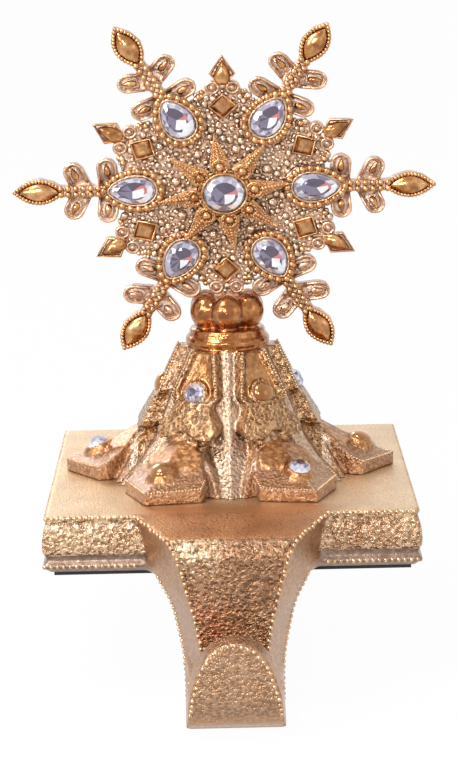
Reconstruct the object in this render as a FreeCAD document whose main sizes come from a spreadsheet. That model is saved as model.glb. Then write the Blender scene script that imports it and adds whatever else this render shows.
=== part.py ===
"""Mantel stocking holder: a moulded plinth with a hook over the mantel's edge, a ribbed pedestal
and a jewelled snowflake on top. Millimetres. The origin is on the mantel's surface under the middle
of the plinth, +Z is up and the hook and the snowflake's face look along -Y."""

import FreeCAD, Part
import math
import os
from FreeCAD import Placement, Rotation, Vector

SIZES = {
    # plinth and its pad
    "plinth_width": 127.0,
    "plinth_depth": 124.0,
    "plinth_top": 21.5,
    "pad_thickness": 1.2,
    "pad_inset": 2.2,
    "rail_diameter": 1.8,
    "ovolo_bulge": 1.5,
    "ovolo_low": 9.6,
    "cove_height": 4.9,
    "cove_depth": 0.9,
    "foot_setback": 1.2,
    # hook arm and lip
    "arm_back": 5.0,
    "arm_reach": 26.0,
    "arm_drop": 63.2,
    "arm_width_top": 66.4,
    "arm_width_bottom": 33.4,
    "arm_face_top": 41.0,
    "arm_face_bottom": 22.0,
    "bend_height": 5.0,
    "hook_gap": 16.0,
    "hook_wall": 8.0,
    "lip_height": 33.0,
    "lip_width": 32.0,
    # pedestal
    "rib_count": 6,
    "core_top_radius": 15.0,
    "core_bottom_radius": 39.0,
    "core_step": 2.0,
    "pedestal_height": 48.5,
    "panel_top_radius": 17.0,
    "panel_bottom_radius": 26.6,
    "panel_bottom_drop": 21.0,
    "panel_top_width": 8.6,
    "panel_bottom_width": 18.8,
    "panel_rail": 1.7,
    "panel_recess": 1.1,
    "lobe_width": 26.6,
    "lobe_radius": 35.2,
    "lobe_drop": 31.5,
    "lobe_step": 1.7,
    "foot_radius": 59.6,
    "foot_width": 37.6,
    "foot_wall": 4.2,
    "foot_fall": 0.24,
    "leaf_thickness": 1.3,
    "foot_seat_sink": 0.8,
    "rib_stone_drop": 16.4,
    "collar_radius": 15.0,
    "collar_tube": 2.5,
    "knop_lobe_radius": 7.2,
    "knop_height": 19.0,
    # snowflake
    "flake_height": 103.0,
    "flake_squash": 0.884,
    "bed_radius": 37.0,
    "bed_thickness": 6.0,
    "arm_length": 75.3,
    "arm_plate": 1.2,
    "marquise_length": 19.0,
    "marquise_width": 10.4,
    "kite_tip": 53.3,
    "kite_width": 9.0,
    "kite_length": 13.4,
    "petal_width": 7.4,
    "stem_width": 4.4,
    "square_side": 6.9,
    "square_radius": 33.0,
    "tang_width": 10.0,
    "tang_thickness": 5.0,
    # star boss
    "star_points": 8,
    "star_radius": 23.9,
    "star_hub": 9.6,
    "star_lobe": 6.0,
    "star_stand": 3.0,
    "star_height": 2.6,
    "star_turn": 8.0,
    "star_drop": 1.3,
    # stones
    "centre_stone": 15.4,
    "centre_stone_height": 4.0,
    "pear_length": 17.0,
    "pear_width": 11.9,
    "pear_radius": 32.6,
    "pear_height": 3.0,
    "rim_width": 2.8,
    "rim_height": 1.2,
    "small_stone": 8.3,
    "small_stone_height": 3.0,
    "seat_wall": 0.9,
    "seat_height": 1.2,
    "pocket_depth": 0.8,
    "stone_clearance": 0.12,
    "tang_clearance": 0.15,
}

doc = FreeCAD.newDocument("mantel_stocking_holder")
sheet = doc.addObject("Spreadsheet::Sheet", "sizes")
for row, (name, value) in enumerate(SIZES.items(), start=1):
    sheet.set(f"A{row}", name)
    sheet.set(f"B{row}", str(value))
    sheet.setAlias(f"B{row}", name)
doc.recompute()


def size(name):
    return sheet.get(name)


# Objects of the document

def bound(kind, name, **expressions):
    """A primitive or operation whose properties follow the sheet; Base_x stands for Placement.Base.x."""
    item = doc.addObject(kind, name)
    item.Label = name
    for prop, expression in expressions.items():
        if prop.startswith("Base_"):
            prop = f".Placement.Base.{prop[-1]}"
        item.setExpression(prop, expression)
    return item


def feature(name, shape):
    item = doc.addObject("Part::Feature", name)
    item.Label = name
    item.Shape = shape
    return item


def combined(kind, name, pieces):
    item = doc.addObject(kind, name)
    item.Label = name
    item.Shapes = pieces
    return item


def cut(name, base, tool):
    item = doc.addObject("Part::Cut", name)
    item.Label = name
    item.Base = base
    item.Tool = tool
    return item


# Frames: each turns a place on the object (two plan coordinates and a level) into a point

def flake_frame(angle, drop=0.0):
    """Along the snowflake's arm, across it, and forward of its back; it is a little less tall than wide."""
    turn = math.radians(angle)
    centre = size("plinth_top") + size("flake_height") - drop
    back = size("tang_thickness") / 2 + 1.5

    def at(along, across, forward):
        u = along * math.cos(turn) - across * math.sin(turn)
        v = along * math.sin(turn) + across * math.cos(turn)
        return Vector(u, back - forward, centre + size("flake_squash") * v)
    return at


def plan_frame(azimuth):
    """Outward along the rib, across it, and up."""
    turn = math.radians(azimuth)

    def at(out, across, up):
        x = out * math.cos(turn) - across * math.sin(turn)
        y = out * math.sin(turn) + across * math.cos(turn)
        return Vector(x, y, up)
    return at


def front_frame(azimuth):
    """Across the rib, up, and outward from the axis."""
    plan = plan_frame(azimuth)
    return lambda across, up, out: plan(out, across, up)


def side_frame(azimuth):
    """Outward along the rib, up, and across it."""
    plan = plan_frame(azimuth)
    return lambda out, up, across: plan(out, across, up)


# Outlines and solids

def wire(at, path, level):
    """Closed wire through the path: a point goes on by a line, a pair (by, to) by an arc."""
    first = at(*path[0], level)
    here = first
    edges = []
    for step in path[1:]:
        if isinstance(step[0], tuple):
            to = at(*step[1], level)
            edges.append(Part.Arc(here, at(*step[0], level), to).toShape())
        else:
            to = at(*step, level)
            edges.append(Part.makeLine(here, to))
        here = to
    if here.distanceToPoint(first) > 1e-6:
        edges.append(Part.makeLine(here, first))
    return Part.Wire(edges)


def slab(at, path, low, high):
    face = Part.Face(wire(at, path, low))
    return face.extrude(at(0, 0, high) - at(0, 0, low))


def stacked(rings):
    """Solid with flat faces through rings of as many points each, where like edges are parallel."""
    count = len(rings[0])
    faces = [Part.Face(Part.makePolygon(ring + [ring[0]])) for ring in (rings[0], rings[-1])]
    for lower, upper in zip(rings, rings[1:]):
        for i in range(count):
            j = (i + 1) % count
            faces.append(Part.Face(Part.makePolygon([lower[i], lower[j], upper[j], upper[i], lower[i]])))
    shell = Part.Shell(faces)
    solid = Part.Solid(shell)
    if solid.Volume < 0:
        solid.reverse()
    return solid


def placed(at, points, level):
    return [at(a, b, level) for a, b in points]


def scaled(points, share):
    """The outline drawn in towards the middle of its points."""
    a = sum(point[0] for point in points) / len(points)
    b = sum(point[1] for point in points) / len(points)
    return [(a + share * (point[0] - a), b + share * (point[1] - b)) for point in points]


def pillow(at, points, low, high, share):
    """Raised cushion with sloping sides: its top is the outline scaled to a share."""
    return stacked([placed(at, points, low), placed(at, scaled(points, share), high)])


def roof(at, ridge, fall, half, floor):
    """Gabled bar under a ridge line of (out, level) points; it falls to both sides."""
    sections = []
    for out, level in ridge:
        eave = level - fall * half
        corners = [(-half, floor), (half, floor), (half, eave), (0, level), (-half, eave)]
        sections.append([at(out, across, z) for across, z in corners])
    return stacked(sections)


def both_sides(points):
    """A path that is mirrored across its own axis; the points run along the left half."""
    mirrored = []
    for a, b in reversed(points):
        if b:
            mirrored.append((a, -b))
    return points + mirrored


def ring_of_points(radius, count):
    places = []
    for i in range(count):
        turn = 2 * math.pi * i / count
        places.append((radius * math.cos(turn), radius * math.sin(turn)))
    return places


def drop_points(centre, length, width, count=14):
    """Pear outline with its point outward along the arm."""
    widest = 0.7698
    places = []
    for i in range(count):
        turn = 2 * math.pi * i / count
        along = centre + length / 2 * math.cos(turn)
        across = width / 2 * math.sin(turn) * math.sin(turn / 2) / widest
        places.append((along, across))
    return places


# Plinth: the same moulding on all four sides

def moulding(half, at):
    """Section of the plinth across one direction, out to the moulding on both sides."""
    top = size("plinth_top")
    rail = size("rail_diameter")
    bulge = half + size("ovolo_bulge")
    low = size("ovolo_low")
    cove = low - size("cove_height")
    inner = bulge - size("cove_depth")
    neck = half - rail / 6
    right = [
        (neck, top),
        ((neck + rail / 2, top - rail / 2), (neck, top - rail)),
        ((half + 0.75 * size("ovolo_bulge"), (top + low) / 2), (bulge, low)),
        ((bulge - 0.3, low - 1.3), (inner, low - 2.1)),
        ((inner - 0.35, cove + 1.4), (inner, cove)),
        ((inner + rail / 2, cove - rail / 2), (inner, cove - rail)),
        (half - size("foot_setback"), size("pad_thickness")),
    ]
    return mirrored_profile(right, at)


def mirrored_profile(right, at):
    """Closed face from the right half of a profile, which runs from its top to its bottom."""
    edges = []
    for sign in (1, -1):
        here = at(sign * right[0][0], right[0][1])
        for step in right[1:]:
            if isinstance(step[0], tuple):
                by, to = step
                end = at(sign * to[0], to[1])
                edges.append(Part.Arc(here, at(sign * by[0], by[1]), end).toShape())
            else:
                end = at(sign * step[0], step[1])
                edges.append(Part.makeLine(here, end))
            here = end
    edges.append(Part.makeLine(at(right[0][0], right[0][1]), at(-right[0][0], right[0][1])))
    edges.append(Part.makeLine(at(right[-1][0], right[-1][1]), at(-right[-1][0], right[-1][1])))
    return Part.Face(Part.Wire(Part.__sortEdges__(edges)))


def make_plinth():
    spans = []
    for name, across, along in (("across", "plinth_width", "plinth_depth"),
                                ("along", "plinth_depth", "plinth_width")):
        turned = name == "along"
        section = feature(f"plinth_section_{name}", moulding(
            size(across) / 2,
            (lambda u, z: Vector(0, u, z)) if turned else (lambda u, z: Vector(u, 0, z))))
        span = bound("Part::Extrusion", f"plinth_span_{name}",
                     LengthFwd=f"sizes.{along} + 4 * sizes.ovolo_bulge")
        span.Base = section
        span.DirMode = "Custom"
        span.Dir = Vector(1, 0, 0) if turned else Vector(0, 1, 0)
        span.Solid = True
        span.Symmetric = True
        spans.append(span)
    return combined("Part::MultiCommon", "plinth", spans)


def make_pad():
    pad = bound("Part::Box", "underside_pad",
                Length="sizes.plinth_width - 2 * sizes.pad_inset",
                Width="sizes.plinth_depth - 2 * sizes.pad_inset",
                Height="sizes.pad_thickness",
                Base_x="-sizes.plinth_width / 2 + sizes.pad_inset",
                Base_y="-sizes.plinth_depth / 2 + sizes.pad_inset")
    return pad


# Hook: the arm flares from its face to its back, and the lip is an arch

def flared_wire(y, halves):
    """Closed wire in the plane y through the half widths at each height, as a smooth curve a side."""
    left = [Vector(-half, y, z) for half, z in halves]
    right = [Vector(half, y, z) for half, z in reversed(halves)]
    curves = []
    for points in (left, right):
        curve = Part.BSplineCurve()
        curve.interpolate(points)
        curves.append(curve.toShape())
    bottom = Part.makeLine(left[-1], right[0])
    top = Part.makeLine(right[-1], left[0])
    return Part.Wire([curves[0], bottom, curves[1], top])


def arch_wire(y, half, crown, spring, bottom):
    """Closed wire in the plane y of an arch that stands on two nearly straight legs."""
    rise = crown - spring
    left = [Vector(-half, y, bottom), Vector(-0.95 * half, y, spring)]
    over = Part.BSplineCurve()
    over.interpolate([
        left[1],
        Vector(-0.72 * half, y, spring + 0.58 * rise),
        Vector(-0.4 * half, y, spring + 0.9 * rise),
        Vector(0, y, crown),
        Vector(0.4 * half, y, spring + 0.9 * rise),
        Vector(0.72 * half, y, spring + 0.58 * rise),
        Vector(0.95 * half, y, spring),
    ])
    right = [Vector(0.95 * half, y, spring), Vector(half, y, bottom)]
    return Part.Wire([Part.makeLine(*left), over.toShape(), Part.makeLine(*right),
                      Part.makeLine(right[1], left[0])])


def side_slab(path, half):
    """The side view (y, z) of the hook, as wide as the arm and more."""
    def at(y, z, x):
        return Vector(x, y, z)
    return slab(at, path, -half, half)


def make_hook():
    front = -size("plinth_depth") / 2
    top = size("plinth_top")
    bottom = top - size("arm_drop")
    back = front - size("arm_back")
    face = front - size("arm_reach") + 1.0
    bend = top - size("bend_height")
    wide, narrow = size("arm_width_top") / 2, size("arm_width_bottom") / 2
    face_wide, face_narrow = size("arm_face_top") / 2, size("arm_face_bottom") / 2
    reach = size("arm_width_top") / 2 + 10

    # The flare carries on past the arm's back and face, so that the side view trims it
    pad = size("pad_thickness")
    back_halves = [(wide + 2.0, top), (wide - 1.2, top - 9.5), (wide - 3.2, pad),
                   (0.42 * wide + 0.79 * narrow, pad - 4.7), (0.26 * wide + 0.95 * narrow, pad - 9.2),
                   (0.13 * wide + 1.09 * narrow, pad - 16), (1.22 * narrow, pad - 26),
                   (1.15 * narrow, bottom + 4), (1.15 * narrow, bottom - 2)]
    face_halves = [(face_wide + 0.9, top), (face_wide - 2.1, top - 9.5), (face_wide - 4.9, pad),
                   (face_wide - 6.1, pad - 4.7), (face_wide - 7.0, pad - 9.2),
                   (face_narrow + 1.2, pad - 16), (face_narrow - 0.1, pad - 26),
                   (face_narrow - 0.8, bottom + 4), (face_narrow - 1.0, bottom - 2)]
    flare = Part.makeLoft([flared_wire(front + 2, back_halves), flared_wire(face, face_halves)], True, True)

    gap, wall = size("hook_gap"), size("hook_wall")
    lip_back = face - gap
    lip_face = lip_back - wall
    crown = bottom + size("lip_height")
    inner = bottom + wall + 4.5
    arm_side = [
        (front + 8, top), (front, top), (face + 8, bend + 2.3),
        ((face + 1.6, bend - 0.8), (face - 1.0, bend - 8.0)),
        (face, inner + 8), (face, inner - 2), (back, bottom + 10), (back, pad), (front + 8, pad)]
    arm = feature("arm_flare", flare.common(side_slab(arm_side, reach)))

    turn_side = [
        (back, bottom + 11), (back, bottom + 8),
        ((back - 3.5, bottom + 2.0), (back - 12, bottom)),
        (lip_face + 16, bottom),
        ((lip_face + 4.6, bottom + 4.0), (lip_face, bottom + 14)),
        (lip_face + 0.5, crown + 2), (lip_back, crown + 2), (lip_back, inner + 8),
        (((lip_back + face) / 2, inner), (face, inner + 8)),
        (face + 2, inner + 8)]
    half = size("lip_width") / 2
    arch = Part.makeLoft([
        arch_wire(lip_face - 1, half, crown - 0.6, crown - 21, bottom - 2),
        arch_wire(lip_back, half + 0.6, crown + 0.6, crown - 17, bottom - 2),
        arch_wire(face, half + 0.6, crown - 2, bottom + 4, bottom - 2),
        arch_wire(front, half + 0.8, crown + 4, bottom + 6, bottom - 2),
    ], True, True)
    lip = feature("hook_lip", arch.common(side_slab(turn_side, reach)))
    return [arm, lip]


# Pedestal: a six-sided core with a stepped rib on each of its faces

def make_core():
    top = size("plinth_top") + size("pedestal_height")
    base = size("plinth_top")
    low, high = size("core_bottom_radius"), size("core_top_radius")
    count = int(size("rib_count"))
    levels = [(base + size("core_step"), low - 1.6), (base + 14.5, 0.44 * low + 0.75 * high),
              (base + 30.5, 0.145 * low + high), (top, high)]
    at = plan_frame(-90)
    sections = [placed(at, ring_of_points(radius, count), level) for level, radius in levels]
    step = slab(at, ring_of_points(low, count), base, base + size("core_step"))
    return [feature("core", stacked(sections)), feature("core_foot", step)]


def panel_outline(inset, drop):
    """Upper panel of a rib from the front: it widens downwards and ends in two shoulders."""
    top = size("plinth_top") + size("pedestal_height") + drop
    low = top - size("panel_bottom_drop")
    upper = size("panel_top_width") / 2 - inset
    lower = size("panel_bottom_width") / 2 - inset
    return [(-upper, top), (-lower, low + 3.8), (-lower + 0.9, low + 2.4 + inset),
            (-0.65 * lower, low + 0.8 + inset), (0, low + inset), (0.65 * lower, low + 0.8 + inset),
            (lower - 0.9, low + 2.4 + inset), (lower, low + 3.8), (upper, top)]


def lobe_outline():
    """Lower panel from the front: it spreads from a neck into two lobes with a notch between."""
    top = size("plinth_top") + size("pedestal_height")
    low = top - size("lobe_drop") + 1.4
    neck = 0.33 * size("panel_bottom_width")
    half = size("lobe_width") / 2
    shelf = top - size("panel_bottom_drop") + 3
    left = [(-neck, shelf), (-neck, shelf - 2.2), (-0.97 * half, low + 5.6), (-half, low + 3.6),
            (-0.88 * half, low + 1.2), (-0.6 * half, low), (-0.24 * half, low + 0.4)]
    return left + [(0, low + 2.3)] + [(-a, b) for a, b in reversed(left)]


def foot_ridge():
    top = size("plinth_top") + size("pedestal_height")
    tip = size("plinth_top") + size("foot_wall")
    low = top - size("lobe_drop")
    return [(size("core_top_radius"), low + 18), (size("lobe_radius") - 1.2, low - 1.5),
            (0.755 * size("foot_radius"), tip + 5.3), (size("foot_radius") + 1, tip - 0.35)]


def rib_solids(azimuth):
    top = size("plinth_top") + size("pedestal_height")
    base = size("plinth_top")
    inner = 0.5 * size("core_top_radius")
    outer = size("foot_radius") + 5
    wide = size("foot_width")
    panel_low = top - size("panel_bottom_drop")
    line = [(size("panel_top_radius"), top), (size("panel_bottom_radius"), panel_low)]
    side = side_frame(azimuth)
    front = front_frame(azimuth)
    plan = plan_frame(azimuth)

    def panel_band(sink, floor):
        return slab(side, [(inner, top), (line[0][0] - sink, top), (line[1][0] - sink, panel_low),
                           (line[1][0] - sink, floor), (inner, floor)], -wide, wide)

    panel = slab(front, panel_outline(0, 0), inner, outer).common(panel_band(0, panel_low - 1))
    sunk = slab(front, panel_outline(size("panel_rail"), -3), inner, outer)
    sunk = sunk.cut(panel_band(size("panel_recess"), panel_low - 1))

    lobe_low = top - size("lobe_drop")
    shelf = panel_low + 0.8
    step = size("lobe_step")
    lobe_ridge = [(inner, shelf + 20), (line[1][0] + step, shelf), (size("lobe_radius"), lobe_low)]
    lobe_band = slab(side, [(inner, shelf), (line[1][0] + step, shelf), (size("lobe_radius"), lobe_low),
                            (size("lobe_radius") - 2, lobe_low - 3), (inner, lobe_low - 3)], -wide, wide)
    lobes = slab(front, lobe_outline(), inner, outer)
    lobes = lobes.common(lobe_band).common(roof(plan, lobe_ridge, 0.16, wide, base - 60))

    foot_half = size("foot_width") / 2
    tip = size("foot_radius")
    foot_plan = both_sides([(tip, 0), (0.77 * tip, foot_half), (0.67 * tip, 0.93 * foot_half),
                            (0.54 * tip, 0.6 * foot_half), (inner, 0.4 * foot_half)])
    foot = slab(plan, foot_plan, base, top)
    foot = foot.common(roof(plan, foot_ridge(), size("foot_fall"), wide, base - 1))
    return panel.cut(sunk).fuse([lobes, foot])


def leaf(azimuth):
    """Raised leaf on a foot: two round lobes and a round seat for the stone near the tip."""
    plan = plan_frame(azimuth)
    base, top = size("plinth_top"), size("plinth_top") + size("pedestal_height")
    tip = size("foot_radius")
    seat = 0.8 * tip
    outline = both_sides([(0.56 * tip, 0), (0.56 * tip, 6.0), (0.64 * tip, 10.6), (0.7 * tip, 10.2),
                          (0.74 * tip, 7.4), (0.735 * tip, 4.4), (seat - 3.2, 4.2), (seat - 1.0, 5.1),
                          (seat + 2.2, 5.1), (seat + 4.6, 3.0), (seat + 5.6, 0)])
    raised = [(out, level + size("leaf_thickness")) for out, level in foot_ridge()]
    cover = roof(plan, raised, size("foot_fall"), size("foot_width"), base - 1)
    return slab(plan, outline, base, top).common(cover)


# Stones on the pedestal: their seats stand square to the surface that carries them

def stone_places():
    """Label, azimuth, place on the rib (out, up) and tilt from upright, for the twelve small stones."""
    top = size("plinth_top") + size("pedestal_height")
    run = size("panel_bottom_radius") - size("panel_top_radius")
    fall = size("panel_bottom_drop")
    drop = size("rib_stone_drop")
    out = size("panel_top_radius") + run * drop / fall - size("panel_recess")
    panel_tilt = math.degrees(math.atan2(fall, run))
    ridge = foot_ridge()
    (out_a, up_a), (out_b, up_b) = ridge[2], ridge[3]
    seat_out = 0.8 * size("foot_radius")
    seat_up = up_a + (up_b - up_a) * (seat_out - out_a) / (out_b - out_a)
    seat_up += size("leaf_thickness") - size("foot_seat_sink")
    foot_tilt = math.degrees(math.atan2(up_a - up_b, out_b - out_a))
    count = int(size("rib_count"))
    for i in range(count):
        azimuth = 360.0 * i / count
        number = i // 2 + 1
        kinds = ("crystal", "pearl") if i % 2 == 0 else ("pearl", "crystal")
        yield f"rib_{kinds[0]}_{number}", azimuth, out, top - drop, panel_tilt
        yield f"foot_{kinds[1]}_{number}", azimuth, seat_out, seat_up, foot_tilt


def stone_placement(azimuth, out, up, tilt):
    place = plan_frame(azimuth)(out, 0, up)
    turn = Rotation(Vector(0, 0, 1), azimuth).multiply(Rotation(Vector(0, 1, 0), tilt))
    return Placement(place, turn)


def round_stone(radius, height, sides):
    """Rose-cut stone on the plane z = 0: an upright girdle, two rows of facets and a small table."""
    at = plan_frame(0)
    rows = [(radius, 0), (radius, 0.25 * height), (0.74 * radius, 0.72 * height), (0.36 * radius, height)]
    return stacked([placed(at, ring_of_points(r, sides), level) for r, level in rows])


def round_post(radius, low, high, placement):
    """Twelve-sided post on the axis of a stone; its flats touch the circle of the radius."""
    post = slab(plan_frame(0), ring_of_points(radius / math.cos(math.pi / 12), 12), low, high)
    post.Placement = placement
    return post


def make_small_stones():
    """Stones in their pockets, and the seats that the casting gives them."""
    stones, seats, pockets = [], [], []
    radius = size("small_stone") / 2
    seat_radius = radius + size("seat_wall")
    for name, azimuth, out, up, tilt in stone_places():
        place = stone_placement(azimuth, out, up, tilt)
        normal = place.Rotation.multVec(Vector(0, 0, 1))
        raised = size("seat_height")
        floor = Placement(place.Base + normal * (raised - size("pocket_depth")), place.Rotation)
        seats.append(round_post(seat_radius, -3, raised, place))
        pockets.append(round_post(radius + size("stone_clearance"), 0, 4, floor))
        if "crystal" in name:
            stone = feature(name, round_stone(radius, size("small_stone_height"), 12))
        else:
            cap = "sizes.small_stone_height"
            dome = f"(sizes.small_stone ^ 2 / 4 + {cap} ^ 2) / (2 * {cap})"
            stone = bound("Part::Sphere", name, Radius=dome, Angle1=f"asin(1 - {cap} / ({dome}))")
            rise = size("small_stone_height")
            sink = (radius ** 2 + rise ** 2) / (2 * rise) - rise
            floor = Placement(floor.Base - normal * sink, floor.Rotation)
        stone.Placement = floor
        stones.append(stone)
    return stones, seats, pockets


def make_pedestal(seats, pockets):
    top = "sizes.plinth_top + sizes.pedestal_height"
    pieces = make_core()
    count = int(size("rib_count"))
    ribs = []
    for i in range(count):
        azimuth = 360.0 * i / count
        ribs.append(rib_solids(azimuth).fuse(leaf(azimuth)))
    ribs = ribs[0].fuse(ribs[1:] + seats)
    for pocket in pockets:
        ribs = ribs.cut(pocket)
    pieces.append(feature("ribs", ribs))
    ring = "sizes.collar_radius - sizes.collar_tube / 2"
    low = f"{top} + 0.6 - sizes.collar_tube"
    pieces.append(bound("Part::Cone", "collar_under", Radius1=ring, Radius2="sizes.collar_radius",
                        Height="0.6 * sizes.collar_tube", Base_z=low))
    pieces.append(bound("Part::Cylinder", "collar_ring", Radius="sizes.collar_radius",
                        Height="0.8 * sizes.collar_tube", Base_z=f"{low} + 0.6 * sizes.collar_tube"))
    pieces.append(bound("Part::Cone", "collar_over", Radius1="sizes.collar_radius", Radius2=ring,
                        Height="0.6 * sizes.collar_tube", Base_z=f"{low} + 1.4 * sizes.collar_tube"))
    pieces.append(bound("Part::Cylinder", "knop_core", Radius="sizes.collar_radius - 2 * sizes.collar_tube",
                        Height="sizes.knop_height - 4", Base_z=f"{top} - 2"))
    for i in range(6):
        turn = 30 + 60 * i
        pieces.append(bound("Part::Sphere", f"knop_lobe_{i + 1}", Radius="sizes.knop_lobe_radius",
                            Base_x=f"sizes.knop_lobe_radius * cos({turn} deg)",
                            Base_y=f"sizes.knop_lobe_radius * sin({turn} deg)",
                            Base_z=f"{top} + 10.6"))
    body = combined("Part::MultiFuse", "pedestal_solid", pieces)
    tang = bound("Part::Box", "tang_slot",
                 Length="sizes.tang_width + 2 * sizes.tang_clearance",
                 Width="sizes.tang_thickness + 2 * sizes.tang_clearance",
                 Height="sizes.knop_height",
                 Base_x="-sizes.tang_width / 2 - sizes.tang_clearance",
                 Base_y="-sizes.tang_thickness / 2 - sizes.tang_clearance",
                 Base_z=f"{top} + 6")
    gap = bound("Part::Box", "petal_slot",
                Length="4 * sizes.collar_radius",
                Width="sizes.bed_thickness + 2 * sizes.tang_clearance + 1.2",
                Height="sizes.knop_height",
                Base_x="-2 * sizes.collar_radius",
                Base_y="sizes.tang_thickness / 2 + 1.5 - sizes.bed_thickness - sizes.tang_clearance - 1.2",
                Base_z=f"{top} + 12.5")
    return cut("pedestal", body, combined("Part::MultiFuse", "knop_slots", [tang, gap]))


# Snowflake

def petal_path(root, lean, length, width, inset):
    """Rounded petal from a root on the arm (along, across), leaning from the arm's direction."""
    turn = math.radians(lean)
    half = width / 2 - inset
    reach = length - width / 2

    def spot(p, q):
        along = root[0] + p * math.cos(turn) - q * math.sin(turn)
        return along, root[1] + p * math.sin(turn) + q * math.cos(turn)
    tip = [(0.707, 0.707), (1, 0), (0.707, -0.707)]
    return ([spot(2 * inset, -half), spot(2 * inset, half), spot(reach, half)]
            + [spot(reach + half * p, half * q) for p, q in tip] + [spot(reach, -half)])


def petal_drop(root, lean, length):
    """Four-sided drop in the petal's dish."""
    middle, reach, half = 0.62 * length, 0.27 * length, 1.7
    turn = math.radians(lean)
    places = []
    for p, q in ((1, 0), (0.15, 1), (-1, 0), (0.15, -1)):
        out, side = middle + reach * p, half * q
        places.append((root[0] + out * math.cos(turn) - side * math.sin(turn),
                       root[1] + out * math.sin(turn) + side * math.cos(turn)))
    return places


def marquise_path(tip, length, width, inset):
    """Pointed oval whose sides bulge as shallow curves of four runs each."""
    start, end = tip - length + 1.6 * inset, tip - 1.6 * inset
    middle, reach, half = (start + end) / 2, (end - start) / 2, width / 2 - inset
    left = [(middle + share * reach, half * (1 - share ** 2)) for share in (1, 0.55, 0, -0.55, -1)]
    return left + [(a, -b) for a, b in left[-2:0:-1]]


def snowflake_arm(angle):
    """Plates of one arm, what is sunk into them, and the drops that stand in the sunk places."""
    at = flake_frame(angle)
    plate = size("bed_thickness") + size("arm_plate")
    tip = size("arm_length")
    rim = size("rim_width")

    # Seat of the pear stone with a raised rim and a pocket
    grown = drop_points(size("pear_radius"), size("pear_length") + 2.3 * rim, size("pear_width") + 2 * rim)
    clear = 2 * size("stone_clearance")
    pocket = drop_points(size("pear_radius"), size("pear_length") + clear, size("pear_width") + clear)
    plates = [slab(at, grown, 1.0, plate + size("rim_height"))]
    sinks = [slab(at, pocket, plate, plate + 9)]

    # Stem and marquise tip
    stem = size("stem_width") / 2
    root = size("pear_radius") + size("pear_length") / 2
    neck = tip - size("marquise_length")
    long, wide = size("marquise_length"), size("marquise_width")
    plates.append(slab(at, [(root - 2, -stem), (neck + 3, -stem), (neck + 3, stem), (root - 2, stem)],
                       1.5, plate + 0.8))
    plates.append(slab(at, marquise_path(tip, long, wide, 0), 1.0, plate + 0.6))
    sinks.append(slab(at, marquise_path(tip, long, wide, 1.3), plate - 0.4, plate + 2))
    drops = [pillow(at, marquise_path(tip, long, wide, 1.7), plate - 0.6, plate + 0.9, 0.4)]

    # Two pairs of petals, each a dished leaf with a drop in it
    width = size("petal_width")
    for share, lean, length in ((0.54, 84, 13.0), (0.665, 66, 12.2)):
        for side in (1, -1):
            petal = ((share * tip, 0), side * lean)
            plates.append(slab(at, petal_path(*petal, length, width, 0), 1.5, plate - 0.4))
            sinks.append(slab(at, petal_path(*petal, length, width, 1.1), plate - 1.2, plate + 0.4))
            drops.append(pillow(at, petal_drop(*petal, length), plate - 1.4, plate - 0.1, 0.3))
    return plates, sinks, drops


def snowflake_kite(angle, shows):
    """Between two arms: a square pyramid, a stepped shoulder and a kite with a drop, if it shows."""
    at = flake_frame(angle)
    bed = size("bed_thickness")
    tip, half, long = size("kite_tip"), size("kite_width") / 2, size("kite_length")
    kite = [(tip, 0), (tip - 0.55 * long, half), (tip - long, 0), (tip - 0.55 * long, -half)]
    radius = size("bed_radius")
    shoulder = [(radius - 6, -10), (radius + 0.6, -9.6), (tip - long + 2, -3.4), (tip - long + 2, 3.4),
                (radius + 0.6, 9.6), (radius - 6, 10)]
    square = size("square_side") / math.sqrt(2)
    where = size("square_radius")

    diamond = [(where + square, 0), (where, square), (where - square, 0), (where, -square)]
    solids = [
        slab(at, shoulder, 1.2, bed + 0.2),
        slab(at, diamond, bed - 1, bed + 1.2),
        pillow(at, scaled(diamond, 0.86), bed + 1.1, bed + 2.6, 0.4),
    ]
    if shows:
        solids.append(slab(at, kite, 1.5, bed + 1.0))
        solids.append(pillow(at, scaled(kite, 0.66), bed + 0.9, bed + 2.4, 0.3))
    return solids


def make_snowflake():
    at = flake_frame(0)
    plates = [slab(at, ring_of_points(size("bed_radius"), 24), 0, size("bed_thickness"))]
    sinks, drops = [], []
    in_knop = 4
    for i in range(6):
        lists = snowflake_arm(60 * i)
        plates += lists[0]
        sinks += lists[1]
        drops += lists[2]
        plates += snowflake_kite(30 + 60 * i, i != in_knop)
    tang_top = size("plinth_top") + size("flake_height") - size("flake_squash") * size("bed_radius") + 4
    tang_low = size("plinth_top") + size("pedestal_height") + 6
    plates.append(Part.makeBox(size("tang_width"), size("tang_thickness"), tang_top - tang_low,
                               Vector(-size("tang_width") / 2, -size("tang_thickness") / 2, tang_low)))
    shape = plates[0].fuse(plates[1:]).cut(sinks).fuse(drops)
    return feature("snowflake", shape)


# Star boss: eight gabled spikes round a hub that carries the centre stone

def star_levels():
    under = size("bed_thickness") + size("star_stand")
    return under, under + size("star_height")


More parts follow.
